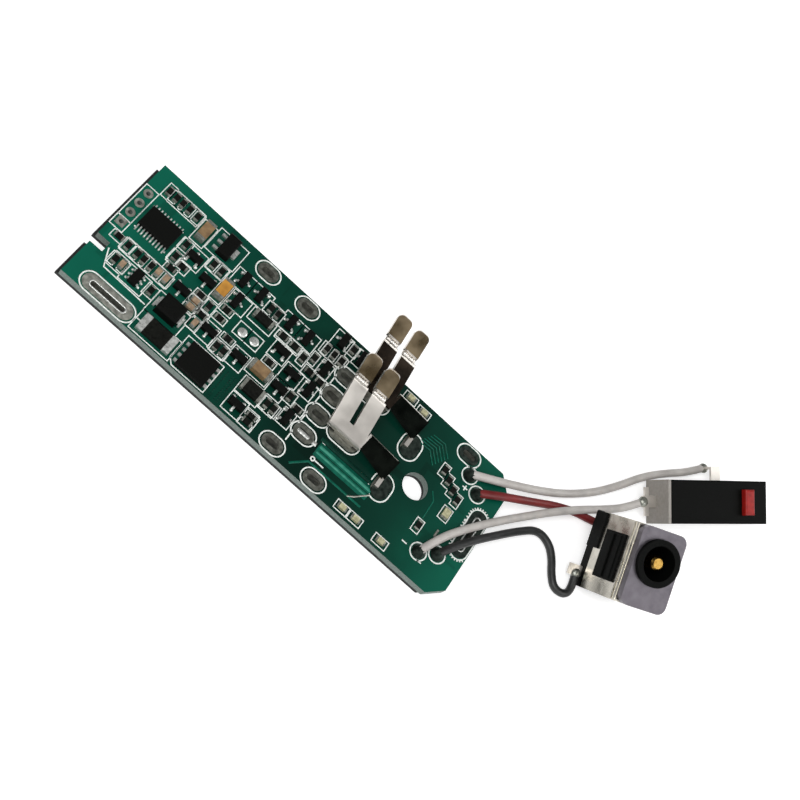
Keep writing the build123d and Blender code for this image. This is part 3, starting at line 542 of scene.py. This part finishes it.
def makeWire(name, route):
    curve = bpy.data.curves.new(name + "Line", "CURVE")
    curve.dimensions = "3D"
    spline = curve.splines.new("NURBS")
    spline.points.add(len(route["stops"]) - 1)
    for point, stop in zip(spline.points, route["stops"]):
        point.co = (*place(*stop), 1.0)
    spline.order_u = wires["order"]
    spline.use_endpoint_u = True
    spline.resolution_u = wires["stepsAlong"]
    bare = bpy.data.objects.new(name + "Bare", curve)
    bpy.context.scene.collection.objects.link(bare)
    bpy.context.view_layer.update()
    line = bpy.data.meshes.new_from_object(bare.evaluated_get(bpy.context.evaluated_depsgraph_get()))
    curve.bevel_depth = wires["diameter"] * mm / 2
    curve.bevel_resolution = wires["stepsRound"]
    curve.use_fill_caps = True
    curve.materials.append(materials[route["colour"]])
    bare.name = name + "Vinyl"
    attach(bare, "board")
    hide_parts(name)


for wireName, wireRoute in wires["routes"].items():
    makeWire(wireName, wireRoute)


# Geometry Nodes tree with geometry and named lengths going in, and geometry coming out
def newTree(name, *inputs):
    tree = bpy.data.node_groups.new(name, "GeometryNodeTree")
    face = tree.interface
    face.new_socket("Geometry", in_out="INPUT", socket_type="NodeSocketGeometry")
    keys = [face.new_socket(label, in_out="INPUT", socket_type="NodeSocketFloat").identifier for label in inputs]
    face.new_socket("Geometry", in_out="OUTPUT", socket_type="NodeSocketGeometry")
    return tree, keys, addNode(tree, "NodeGroupInput")


# Lays ink or copper along lines: a flat strip of one width and height
def makeStripTree(name, material):
    tree, keys, source = newTree(name, "Strip Width", "Strip Height")
    toCurve = addNode(tree, "GeometryNodeMeshToCurve", links={"Mesh": source.outputs["Geometry"]})
    upright = addNode(tree, "GeometryNodeSetCurveNormal", {"mode": "Z_UP"}, {"Curve": toCurve.outputs["Curve"]})
    profile = addNode(
        tree,
        "GeometryNodeCurvePrimitiveQuadrilateral",
        links={"Width": source.outputs["Strip Width"], "Height": source.outputs["Strip Height"]},
    )
    swept = addNode(
        tree,
        "GeometryNodeCurveToMesh",
        {"Fill Caps": True},
        {"Curve": upright.outputs["Curve"], "Profile Curve": profile.outputs["Curve"]},
    )
    realized = addNode(tree, "GeometryNodeRealizeInstances", links={"Geometry": swept.outputs["Mesh"]})
    painted = addNode(tree, "GeometryNodeSetMaterial", {"Material": material}, links={"Geometry": realized.outputs[0]})
    addNode(tree, "NodeGroupOutput", links={"Geometry": painted.outputs["Geometry"]})
    return tree, keys


# Runs a tree on a mesh of lines or points, with its lengths in mm, and keeps what it builds on the board
def runTree(name, mesh, built, lengths):
    tree, keys = built
    seed = bpy.data.objects.new(name + "Seed", mesh)
    bpy.context.scene.collection.objects.link(seed)
    modifier = seed.modifiers.new("build", "NODES")
    modifier.node_group = tree
    for key, length in zip(keys, lengths):
        modifier[key] = length * mm
    bpy.context.view_layer.update()
    result = bpy.data.meshes.new_from_object(seed.evaluated_get(bpy.context.evaluated_depsgraph_get()))
    bpy.data.objects.remove(seed)
    result.name = name
    made = bpy.data.objects.new(name, result)
    bpy.context.scene.collection.objects.link(made)
    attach(made, "board")


# Each line is a list of (fromEnd, across, up) points; a closed line repeats its first point
def lineMesh(name, lines):
    mesh = bpy.data.meshes.new(name)
    verts, edges = [], []
    for line in lines:
        closed = line[0] == line[-1]
        points = line[:-1] if closed else line
        first = len(verts)
        verts += [place(x, y, z) for x, y, z in points]
        edges += [(first + i, first + i + 1) for i in range(len(points) - 1)]
        if closed:
            edges.append((first + len(points) - 1, first))
    mesh.from_pydata(verts, edges, [])
    return mesh


# Points of each separate solid of a node
def islands(name):
    shape = bmesh.new()
    shape.from_mesh(nodes[name].data)
    bmesh.ops.remove_doubles(shape, verts=shape.verts, dist=weldGap)
    seen, found = set(), []
    for start in shape.verts:
        if start.index in seen:
            continue
        seen.add(start.index)
        stack, members = [start], []
        while stack:
            vertex = stack.pop()
            members.append(vertex.co.copy())
            for edge in vertex.link_edges:
                other = edge.other_vert(vertex)
                if other.index not in seen:
                    seen.add(other.index)
                    stack.append(other)
        found.append(members)
    shape.free()
    return found


def islandCentres(name):
    return [sum(points, Vector()) / len(points) for points in islands(name)]


# Low and high corner of each separate solid
def islandBoxes(name):
    return [
        tuple(Vector([pick(point[axis] for point in points) for axis in range(3)]) for pick in (min, max))
        for points in islands(name)
    ]


# Printed outlines round the parts
ink = {
    "width": 0.26,
    "height": 0.03,
    # How far the ink sinks into the lacquer, and how far lines that cross stand over one another
    "sink": 0.005,
    "overOutlines": 0.004,
    "overLands": 0.006,
    "overStroke": 0.01,
    # A chip without a box of its own under this area gets one at this margin
    "chipMargin": 0.62,
    "ownBoxArea": 6.5,
    # Boxes as low and high corners
    "boxes": [
        (2.84, 9.17, 4.44, 12.4), (4.44, 9.06, 10.9, 12.2), (0.04, -1.56, 2.74, 8.96), (1.5, -3.44, 4.04, -1.77),
        (4.14, -4.15, 14.04, -1.25), (10.9, 0.27, 12.7, 6.2), (12.74, 2.2, 16.18, 6.15), (11.24, 6.6, 14.04, 11.67),
        (14.2, 7.3, 20.5, 12.6), (7.24, -8.4, 11.94, -4.7), (13.84, -9.5, 20.6, -4.7), (13.9, -13.9, 22.3, -9.5),
        (20.9, 5.52, 24.9, 9.27), (24.9, 5.52, 28.96, 9.27), (28.96, 5.5, 31.9, 8.4), (31.9, 5.52, 35.7, 9.27),
        (35.7, 5.52, 39.7, 9.27), (22.8, 1.67, 26.7, 5.3), (27.3, 2.6, 32.3, 5.3), (20.2, 0.6, 22.5, 5.4),
        (27.04, -1.5, 29.6, 1.35), (29.6, -1.5, 32.3, 1.35), (33.75, -0.1, 37.3, 3.54), (32.9, 3.75, 38.2, 5.1),
        (37.6, -2.0, 41.4, 1.6), (32.7, -5.4, 37.2, -2.5), (22.5, -6.7, 25.7, -2.8), (29.0, -6.7, 32.4, -2.8),
        (37.5, -5.9, 40.8, -2.0), (33.6, -9.5, 38.2, -5.9), (33.6, -13.6, 37.2, -9.7), (37.3, -13.7, 40.1, -10.5),
        (38.4, -9.0, 41.4, -6.25), (40.9, 10.0, 44.5, 13.6), (58.7, -13.6, 61.4, -11.8), (61.6, -13.6, 64.4, -11.8),
        (67.3, -13.6, 70.2, -11.8), (57.0, 12.0, 59.8, 13.7), (60.4, 11.4, 63.2, 13.2),
        (16.5, 4.4, 20.1, 7.2), (18.0, -1.1, 20.6, 0.4), (17.9, -4.3, 20.6, -1.2), (20.6, -6.6, 22.4, -2.3),
        (22.8, 0.1, 25.4, 1.6), (22.8, -2.0, 25.4, -0.5), (26.0, -7.1, 28.9, -4.3), (26.1, -3.9, 28.7, -2.5),
        (33.9, -1.9, 36.5, -0.4), (38.4, 2.5, 39.9, 5.3), (40.0, 4.0, 41.4, 6.8), (40.8, 7.2, 45.4, 10.0),
        (42.1, 3.4, 44.6, 6.8), (42.1, -1.8, 44.6, 1.6), (42.1, -8.7, 44.6, -5.3), (42.8, -5.2, 45.2, -3.6),
        (46.0, 10.0, 48.8, 13.5), (70.1, 5.0, 71.7, 7.8), (71.7, 3.9, 73.3, 6.7), (73.3, 2.9, 74.9, 5.7),
        (74.9, 2.0, 76.5, 4.8), (71.7, -6.9, 73.3, -4.1), (74.4, -1.5, 76.4, 1.3), (4.2, -7.8, 7.2, -4.7),
    ],
    "lines": [
        [(0.04, 0.94), (2.74, 0.94)],
        [(45.5, 7.1), (45.5, -10.2)],
        [(22.2, -7.6), (30.0, -7.6), (30.0, -13.9), (23.2, -13.9), (22.2, -12.9), (22.2, -7.6)],
        [(3.0, -5.3), (4.5, -8.6), (13.5, -8.8)],
    ],
    # Polarity marks: centre and which strokes
    "marks": [(79.3, 1.6, "+"), (76.2, -10.6, "-"), (72.2, -9.6, "-"), (75.7, 6.6, "+"), (14.6, -11.6, "-")],
    "markSize": 1.1,
    # Short teeth round the plus land, and how far they stay from the board's end
    "toothed": (81.0, 0.0, 3.6, 10.8),
    "toothPitch": 0.75,
    "toothLength": 0.42,
    "toothSteps": 6,
    "endMargin": 0.2,
    # Two test rings, each with a short line beside it
    "rings": [(51.1, -5.5), (51.1, -9.4)],
    "ringSize": 0.7,
    "ringLine": (0.5, 2.4),
    # Rounded outlines round the lands: centre, length along X, length along Y
    "ovals": [
        (25.2, 12.2, 5.0, 3.5), (34.3, 12.2, 5.0, 3.5), (44.2, -12.4, 5.0, 3.5), (53.4, -12.4, 5.0, 3.5),
        (73.0, 12.2, 5.0, 3.5), (47.3, 7.0, 5.0, 3.5), (47.3, 2.3, 5.0, 3.5), (47.3, -2.4, 5.0, 3.5),
        (47.3, -7.0, 5.0, 3.5), (8.3, -12.3, 11.0, 3.75), (81.0, 0.0, 3.6, 10.8), (53.15, -2.4, 6.9, 3.7),
        (53.15, 7.6, 6.9, 3.7), (63.4, -4.7, 4.2, 5.6), (63.4, 5.3, 4.2, 5.6), (75.2, 9.2, 3.2, 3.2),
        (78.2, 7.2, 3.2, 3.2), (75.2, -9.2, 3.2, 3.2), (78.2, -7.2, 3.2, 3.2),
    ],
}


# Closed oval; points nearer than the gap fall together
def ovalLine(centreX, centreY, lengthX, lengthY, z, steps=8, gap=0.01):
    radius = min(lengthX, lengthY) / 2
    dx, dy = lengthX / 2 - radius, lengthY / 2 - radius
    points = []
    for sx, sy, start in ((1, 1, 0), (-1, 1, 90), (-1, -1, 180), (1, -1, 270)):
        for step in range(steps + 1):
            angle = math.radians(start + 90 * step / steps)
            point = (centreX + sx * dx + radius * math.cos(angle), centreY + sy * dy + radius * math.sin(angle), z)
            if not points or math.dist(point, points[-1]) > gap:
                points.append(point)
    if math.dist(points[0], points[-1]) < gap:
        points.pop()
    return points + [points[0]]


def boxLine(lowX, lowY, highX, highY, z):
    return [(lowX, lowY, z), (highX, lowY, z), (highX, highY, z), (lowX, highY, z), (lowX, lowY, z)]


# Short strokes square to the outline of the plus land, as on a cog
def toothLines(z):
    lines = []
    outline = ovalLine(*ink["toothed"], z, steps=ink["toothSteps"])
    for (ax, ay, _), (bx, by, _) in zip(outline, outline[1:]):
        length = math.dist((ax, ay), (bx, by))
        normalX, normalY = (by - ay) / length, (ax - bx) / length
        count = max(1, round(length / ink["toothPitch"]))
        for number in range(count):
            share = (number + 0.5) / count
            x, y = ax + (bx - ax) * share, ay + (by - ay) * share
            tipX, tipY = x + normalX * ink["toothLength"], y + normalY * ink["toothLength"]
            if tipX < board["length"] - ink["endMargin"]:
                lines.append([(x, y, z + ink["overLands"]), (tipX, tipY, z + ink["overLands"])])
    return lines


# Boxes at one margin round the chips that have no small box of their own
def chipLines(z):
    lines = []
    for low, high in islandBoxes("chip_resistors") + islandBoxes("chip_capacitors"):
        lowX, lowY = low.x / mm + board["holeFromEnd"] - ink["chipMargin"], low.y / mm - ink["chipMargin"]
        highX, highY = high.x / mm + board["holeFromEnd"] + ink["chipMargin"], high.y / mm + ink["chipMargin"]
        x, y = (lowX + highX) / 2, (lowY + highY) / 2
        around = [(a, b, c, d) for a, b, c, d in ink["boxes"] if a < x < c and b < y < d]
        if not any((c - a) * (d - b) < ink["ownBoxArea"] for a, b, c, d in around):
            lines.append(boxLine(lowX, lowY, highX, highY, z + ink["overOutlines"]))
    return lines


def layInk():
    z = board["top"] + ink["height"] / 2 - ink["sink"]
    lines = [boxLine(*box, z) for box in ink["boxes"]]
    lines += [[(x, y, z) for x, y in line] for line in ink["lines"]]
    lines += [ovalLine(*oval, z) for oval in ink["ovals"]]
    lines += toothLines(z)
    for x, y in ink["rings"]:
        lines.append(ovalLine(x, y, ink["ringSize"], ink["ringSize"], z))
        lines.append([(x + reach, y, z) for reach in ink["ringLine"]])
    for x, y, strokes in ink["marks"]:
        half = ink["markSize"] / 2
        lines.append([(x - half, y, z), (x + half, y, z)])
        if strokes == "+":
            lines.append([(x, y + reach, z + ink["overStroke"]) for reach in (-half, half)])
    lines += chipLines(z)
    mesh, tree = lineMesh("printedLines", lines), makeStripTree("inkStrips", materials["ink"])
    runTree("printedOutlines", mesh, tree, (ink["width"], ink["height"]))


layInk()
print("printed outlines laid")

# Copper under the lacquer and bare strips of solder, each as finish, width and the points of its line
strips = {
    "level": 0.012,
    # Each strip lies this much over the one before it
    "step": 0.004,
    "height": 0.035,
    "lines": [
        ("maskTrace", 2.9, [(50.6, -7.35), (62.4, -7.35)]),
        ("maskCopper", 0.6, [(50.9, -6.7), (62.4, -6.7)]),
        ("maskCopper", 0.4, [(50.9, -7.95), (62.4, -7.95)]),
        ("maskDark", 0.16, [(51.2, -7.4), (62.6, -7.4)]),
        ("maskTrace", 0.45, [(48.3, -13.0), (50.8, -10.3), (62.5, -10.3)]),
        ("maskTrace", 0.25, [(71.2, 1.7), (72.4, 0.2), (72.5, -3.7)]),
        ("maskDark", 0.9, [(50.2, -5.35), (61.6, -5.35)]),
        ("tin", 0.28, [(62.7, -7.3), (61.3, -8.8), (60.6, -9.6), (59.5, -10.4)]),
        ("tin", 0.45, [(76.0, -5.0), (76.0, -3.4)]),
        ("solder", 0.8, [(45.9, -7.05), (50.2, -7.05)]),
    ],
    # Parallel traces beside the switch wire's land: the first one's points, and the step from one to the next
    "bundle": [(65.6, 10.4), (68.3, 10.6), (70.2, 8.6)],
    "bundleStep": (-0.33, -0.62),
    "bundleCount": 6,
    "bundleWidth": 0.22,
    # Bright solder rims round the two cell slots: middle, then length along X and along Y
    "rimWidth": 0.26,
    "rimLevel": 0.1,
    "rims": [(8.3, -12.3, 7.4, 1.2), (81.0, 0.0, 1.3, 7.5)],
}


def layRims():
    z = board["top"] + strips["rimLevel"]
    tree = makeStripTree("solderRims", materials["solder"])
    mesh = lineMesh("slotRimLines", [ovalLine(*oval, z) for oval in strips["rims"]])
    runTree("slotRims", mesh, tree, (strips["rimWidth"], strips["height"]))


def layStrips():
    finishes = ("maskCopper", "maskDark", "maskTrace", "tin", "solder")
    trees = {key: makeStripTree(key + "Strips", materials[key]) for key in finishes}
    lines = list(strips["lines"])
    stepX, stepY = strips["bundleStep"]
    for number in range(strips["bundleCount"]):
        points = [(x + number * stepX, y + number * stepY) for x, y in strips["bundle"]]
        lines.append(("maskTrace", strips["bundleWidth"], points))
    for number, (key, width, points) in enumerate(lines):
        z = board["top"] + strips["level"] + strips["step"] * number
        mesh = lineMesh(f"stripLine{number}", [[(x, y, z) for x, y in points]])
        runTree(f"strip{number}", mesh, trees[key], (width, strips["height"]))


layRims()
layStrips()
print("copper strips laid")


# Puts a round drop on every point, each a little larger or smaller
def makeDropTree(name, material):
    tree, keys, source = newTree(name, "Drop Width", "Drop Height")
    ball = addNode(tree, "GeometryNodeMeshIcoSphere", {"Radius": 0.5, "Subdivisions": 3})
    width, height = source.outputs["Drop Width"], source.outputs["Drop Height"]
    size = addNode(tree, "ShaderNodeCombineXYZ", links={"X": width, "Y": width, "Z": height})
    spread = {"data_type": "FLOAT", 2: drops["smallest"], 3: drops["largest"], "Seed": drops["seed"]}
    varied = addNode(tree, "FunctionNodeRandomValue", spread)
    scaled = addNode(tree, "ShaderNodeVectorMath", {"operation": "SCALE"}, {0: size.outputs[0]})
    tree.links.new(varied.outputs[1], scaled.inputs["Scale"])
    placed = addNode(
        tree,
        "GeometryNodeInstanceOnPoints",
        links={"Points": source.outputs["Geometry"], "Instance": ball.outputs["Mesh"], "Scale": scaled.outputs[0]},
    )
    realized = addNode(tree, "GeometryNodeRealizeInstances", links={"Geometry": placed.outputs["Instances"]})
    smooth = addNode(tree, "GeometryNodeSetShadeSmooth", links={"Geometry": realized.outputs["Geometry"]})
    painted = addNode(tree, "GeometryNodeSetMaterial", {"Material": material}, {"Geometry": smooth.outputs["Geometry"]})
    addNode(tree, "NodeGroupOutput", links={"Geometry": painted.outputs["Geometry"]})
    return tree, keys


# Solder at the toe of each lead, outside its body
def layToes(leadName, bodyName, reach, width, height):
    bodies = islandCentres(bodyName)
    points = []
    for lead in islandCentres(leadName):
        body = min(bodies, key=lambda centre: (centre - lead).length)
        away = lead - body
        away.z = 0
        if leadName in toes["square"]:
            away = Vector((away.x, 0, 0)) if abs(away.x) > abs(away.y) else Vector((0, away.y, 0))
        point = lead + away.normalized() * reach * mm
        points.append((point.x, point.y, (board["top"] + toes["rise"]) * mm))
    mesh = bpy.data.meshes.new(leadName + "Points")
    mesh.from_pydata(points, [], [])
    runTree(leadName + "Toes", mesh, toeTree, (width, height))


toes = {
    # Middle of a toe over the board
    "rise": 0.05,
    # Leads that stand square to their body
    "square": ("microcontroller_leads", "driver_chip_leads"),
    # Lead node, body node, reach from the lead's middle, width, height
    "rows": [
        ("transistor_leads", "transistor_bodies", 0.28, 0.62, 0.5),
        ("microcontroller_leads", "microcontroller", 0.3, 0.34, 0.3),
        ("driver_chip_leads", "driver_chip", 0.25, 0.4, 0.35),
    ],
}
# Solder drops, each kind as width and height with its places; their sizes vary between two shares
drops = {
    "smallest": 0.75,
    "largest": 1.15,
    "seed": 0,
    # Small plated holes in rows
    "viaSize": (0.34, 0.1),
    "viaColumns": (30.3, 31.05, 32.1, 32.7),
    "viaRows": [-7.9 - 0.5 * row for row in range(12)],
    # Two bare pads with solder
    "padSize": (1.7, 0.5),
    "barePads": [(28.55, -0.3, 2.44), (31.05, -0.1, 2.44)],
    # Solder on the wires' far ends
    "wireEndSize": (1.8, 1.4),
    "wireEnds": [(113.3, 47.5, 1.5), (105.2, 30.05, 3.62), (103.8, 21.8, 2.2), (101.75, 9.5, 1.6)],
    # Bright roll between each finger and its tip, as five drops side by side
    "beadSize": (1.05, 0.95),
    "beadMiddles": (48.55, 52.5),
    "beadPitch": 0.45,
    "beadFromRow": 6.5,
    "beadHeight": 9.55,
}


def layDrops(name, places, size, tree):
    mesh = bpy.data.meshes.new(name + "Points")
    mesh.from_pydata([tuple(place(*spot)) for spot in places], [], [])
    runTree(name, mesh, tree, size)


toeTree = makeDropTree("solderToes", materials["solder"])
for row in toes["rows"]:
    layToes(*row)
viaTree = makeDropTree("platedHoles", materials["maskDark"])
vias = [(x, y, board["top"]) for x in drops["viaColumns"] for y in drops["viaRows"]]
layDrops("viaDots", vias, drops["viaSize"], viaTree)
layDrops("barePadSolder", drops["barePads"], drops["padSize"], toeTree)
wireEndTree = makeDropTree("wireEndDrops", materials["capTin"])
layDrops("wireEndSolder", drops["wireEnds"], drops["wireEndSize"], wireEndTree)
beadTree = makeDropTree("tipBeads", materials["nickel"])
beads = [
    (x + drops["beadPitch"] * step, row + drops["beadFromRow"], drops["beadHeight"])
    for _, row, _ in terminal["rows"]
    for x in drops["beadMiddles"]
    for step in range(-2, 3)
]
layDrops("tipBeads", beads, drops["beadSize"], beadTree)
print("solder drops laid")

# Jack: the black latch block in the shell's window, the black rear block and the rolled edge at the front,
# all as low and high corners in the jack's own frame, whose Z is the way in
jack = {
    "fromEnd": 104.6,
    "across": 16.3,
    "turn": 25.0,
    "lean": 24.5,
    "width": 14.2,
    "blocks": [
        ((-5.05, -4.3, 5.6), (-4.4, 4.3, 12.4)),
        ((-5.35, -3.9, 7.0), (-4.4, 3.9, 9.0)),
        ((-5.2, -3.9, 9.8), (-4.4, 3.9, 11.4)),
        ((-5.0, 0.4, 0.3), (-4.4, 7.0, 4.2)),
    ],
    "rolledEdges": [((-5.0, -7.0, 13.5), (-4.4, 7.0, 13.8)), ((-4.95, -7.0, 14.35), (-4.4, 7.0, 14.7))],
    "edgeRadius": 0.12,
    "edgeSteps": 3,
}


def jackFrame():
    lift = jack["width"] / 2 * math.sin(math.radians(jack["lean"]))
    turned = Matrix.Rotation(math.radians(jack["turn"]), 4, "Z") @ Matrix.Rotation(math.radians(jack["lean"]), 4, "X")
    return Matrix.Translation(place(jack["fromEnd"], jack["across"], lift)) @ turned


def makeBlocks(name, corners, material):
    shape = bmesh.new()
    for low, high in corners:
        middle = Vector([(a + b) / 2 * mm for a, b in zip(low, high)])
        size = [(b - a) * mm for a, b in zip(low, high)]
        spot = jackFrame() @ Matrix.Translation(middle) @ Matrix.Diagonal((*size, 1))
        made = bmesh.ops.create_cube(shape, size=1.0, matrix=spot)
        edges = list({edge for vertex in made["verts"] for edge in vertex.link_edges})
        radius, steps = jack["edgeRadius"] * mm, jack["edgeSteps"]
        bmesh.ops.bevel(shape, geom=edges, offset=radius, segments=steps, profile=0.5, affect="EDGES")
    mesh = bpy.data.meshes.new(name)
    shape.to_mesh(mesh)
    shape.free()
    mesh.materials.append(material)
    block = bpy.data.objects.new(name, mesh)
    bpy.context.scene.collection.objects.link(block)
    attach(block, "board")


makeBlocks("jackLatchBlocks", jack["blocks"], materials["phenolic"])
makeBlocks("shellRolledEdges", jack["rolledEdges"], materials["nickelShell"])
print("jack details made")

# Studio: pale floor that looks white, a wide soft lamp and two weaker ones
studio = {
    "floorSize": 3.0,
    "floor": "#e4e4e4",
    # Glow of the floor for the camera and in mirrors
    "floorGlow": 0.45,
    "key": {"at": (-0.25, -0.35, 0.75), "size": 0.5, "power": 4.6},
    "fill": {"at": (0.55, -0.25, 0.55), "size": 0.5, "power": 1.6},
    "rim": {"at": (0.6, 0.4, 0.4), "size": 0.4, "power": 1.8},
    "world": 0.42,
    # What the metal and the lacquer mirror: dim on the left, bright on the right
    "mirrored": (0.06, 0.5),
    "mirroredFrom": (-0.15, 0.4),
    "camera": {
        "at": (-50.16, -131.69, 219.02),
        "turn": (21.376, -27.539, 34.471),
        "lens": 67.35,
        "sensor": 36.0,
        "clip": (0.01, 10.0),
    },
}


def makeFloor():
    mesh = bpy.data.meshes.new("floor")
    half = studio["floorSize"] / 2
    mesh.from_pydata([(-half, -half, 0), (half, -half, 0), (half, half, 0), (-half, half, 0)], [], [(0, 1, 2, 3)])
    floor = bpy.data.objects.new("floor", mesh)
    bpy.context.scene.collection.objects.link(floor)
    material, tree, shader = newMaterial("paleFloor", {"Roughness": 0.8, "Base Color": toLinear(studio["floor"])})
    rays = addNode(tree, "ShaderNodeLightPath").outputs
    either = {"operation": "MAXIMUM"}
    seen = addNode(tree, "ShaderNodeMath", either, {0: rays["Is Camera Ray"], 1: rays["Is Glossy Ray"]})
    seen = addNode(tree, "ShaderNodeMath", either, {0: seen.outputs[0], 1: rays["Is Transmission Ray"]})
    glow = {"operation": "MULTIPLY", 1: studio["floorGlow"]}
    strength = addNode(tree, "ShaderNodeMath", glow, {0: seen.outputs[0]})
    shader.inputs["Emission Color"].default_value = (1, 1, 1, 1)
    tree.links.new(strength.outputs[0], shader.inputs["Emission Strength"])
    mesh.materials.append(material)


# Square lamp that looks at the screw hole
def makeLamp(name, settings):
    light = bpy.data.lights.new(name, "AREA")
    light.energy = settings["power"]
    light.size = settings["size"]
    lamp = bpy.data.objects.new(name, light)
    bpy.context.scene.collection.objects.link(lamp)
    lamp.location = settings["at"]
    lamp.rotation_euler = (-lamp.location).to_track_quat("-Z", "Y").to_euler()


def makeCamera():
    settings = studio["camera"]
    data = bpy.data.cameras.new("photoView")
    data.lens = settings["lens"]
    data.sensor_width = settings["sensor"]
    data.sensor_fit = "HORIZONTAL"
    data.clip_start, data.clip_end = settings["clip"]
    camera = bpy.data.objects.new("photoView", data)
    bpy.context.scene.collection.objects.link(camera)
    camera.location = Vector(settings["at"]) * mm
    camera.rotation_euler = Euler([math.radians(a) for a in settings["turn"]])
    bpy.context.scene.camera = camera


def makeWorld():
    world = bpy.data.worlds.new("studio")
    bpy.context.scene.world = world
    world.use_nodes = True
    tree = world.node_tree
    background = tree.nodes["Background"]
    path = addNode(tree, "ShaderNodeLightPath")
    direction = addNode(tree, "ShaderNodeTexCoord")
    parts = addNode(tree, "ShaderNodeSeparateXYZ", links={"Vector": direction.outputs["Generated"]})
    low, high = studio["mirroredFrom"]
    dim, bright = studio["mirrored"]
    mirrored = addNode(
        tree,
        "ShaderNodeMapRange",
        {"From Min": low, "From Max": high, "To Min": dim, "To Max": bright},
        {"Value": parts.outputs["X"]},
    )
    lit = addNode(tree, "ShaderNodeMix", {"data_type": "FLOAT", 2: studio["world"]}, {0: path.outputs["Is Glossy Ray"]})
    tree.links.new(mirrored.outputs["Result"], lit.inputs[3])
    ranged = addNode(tree, "ShaderNodeMix", {"data_type": "FLOAT", 3: 1.0}, {0: path.outputs["Is Camera Ray"]})
    tree.links.new(lit.outputs[0], ranged.inputs[2])
    background.inputs["Color"].default_value = (1, 1, 1, 1)
    tree.links.new(ranged.outputs[0], background.inputs["Strength"])


makeFloor()
for lampKey in ("key", "fill", "rim"):
    makeLamp(lampKey + "Lamp", studio[lampKey])
makeWorld()
makeCamera()
bpy.context.scene.view_settings.view_transform = "Standard"
print("studio ready")
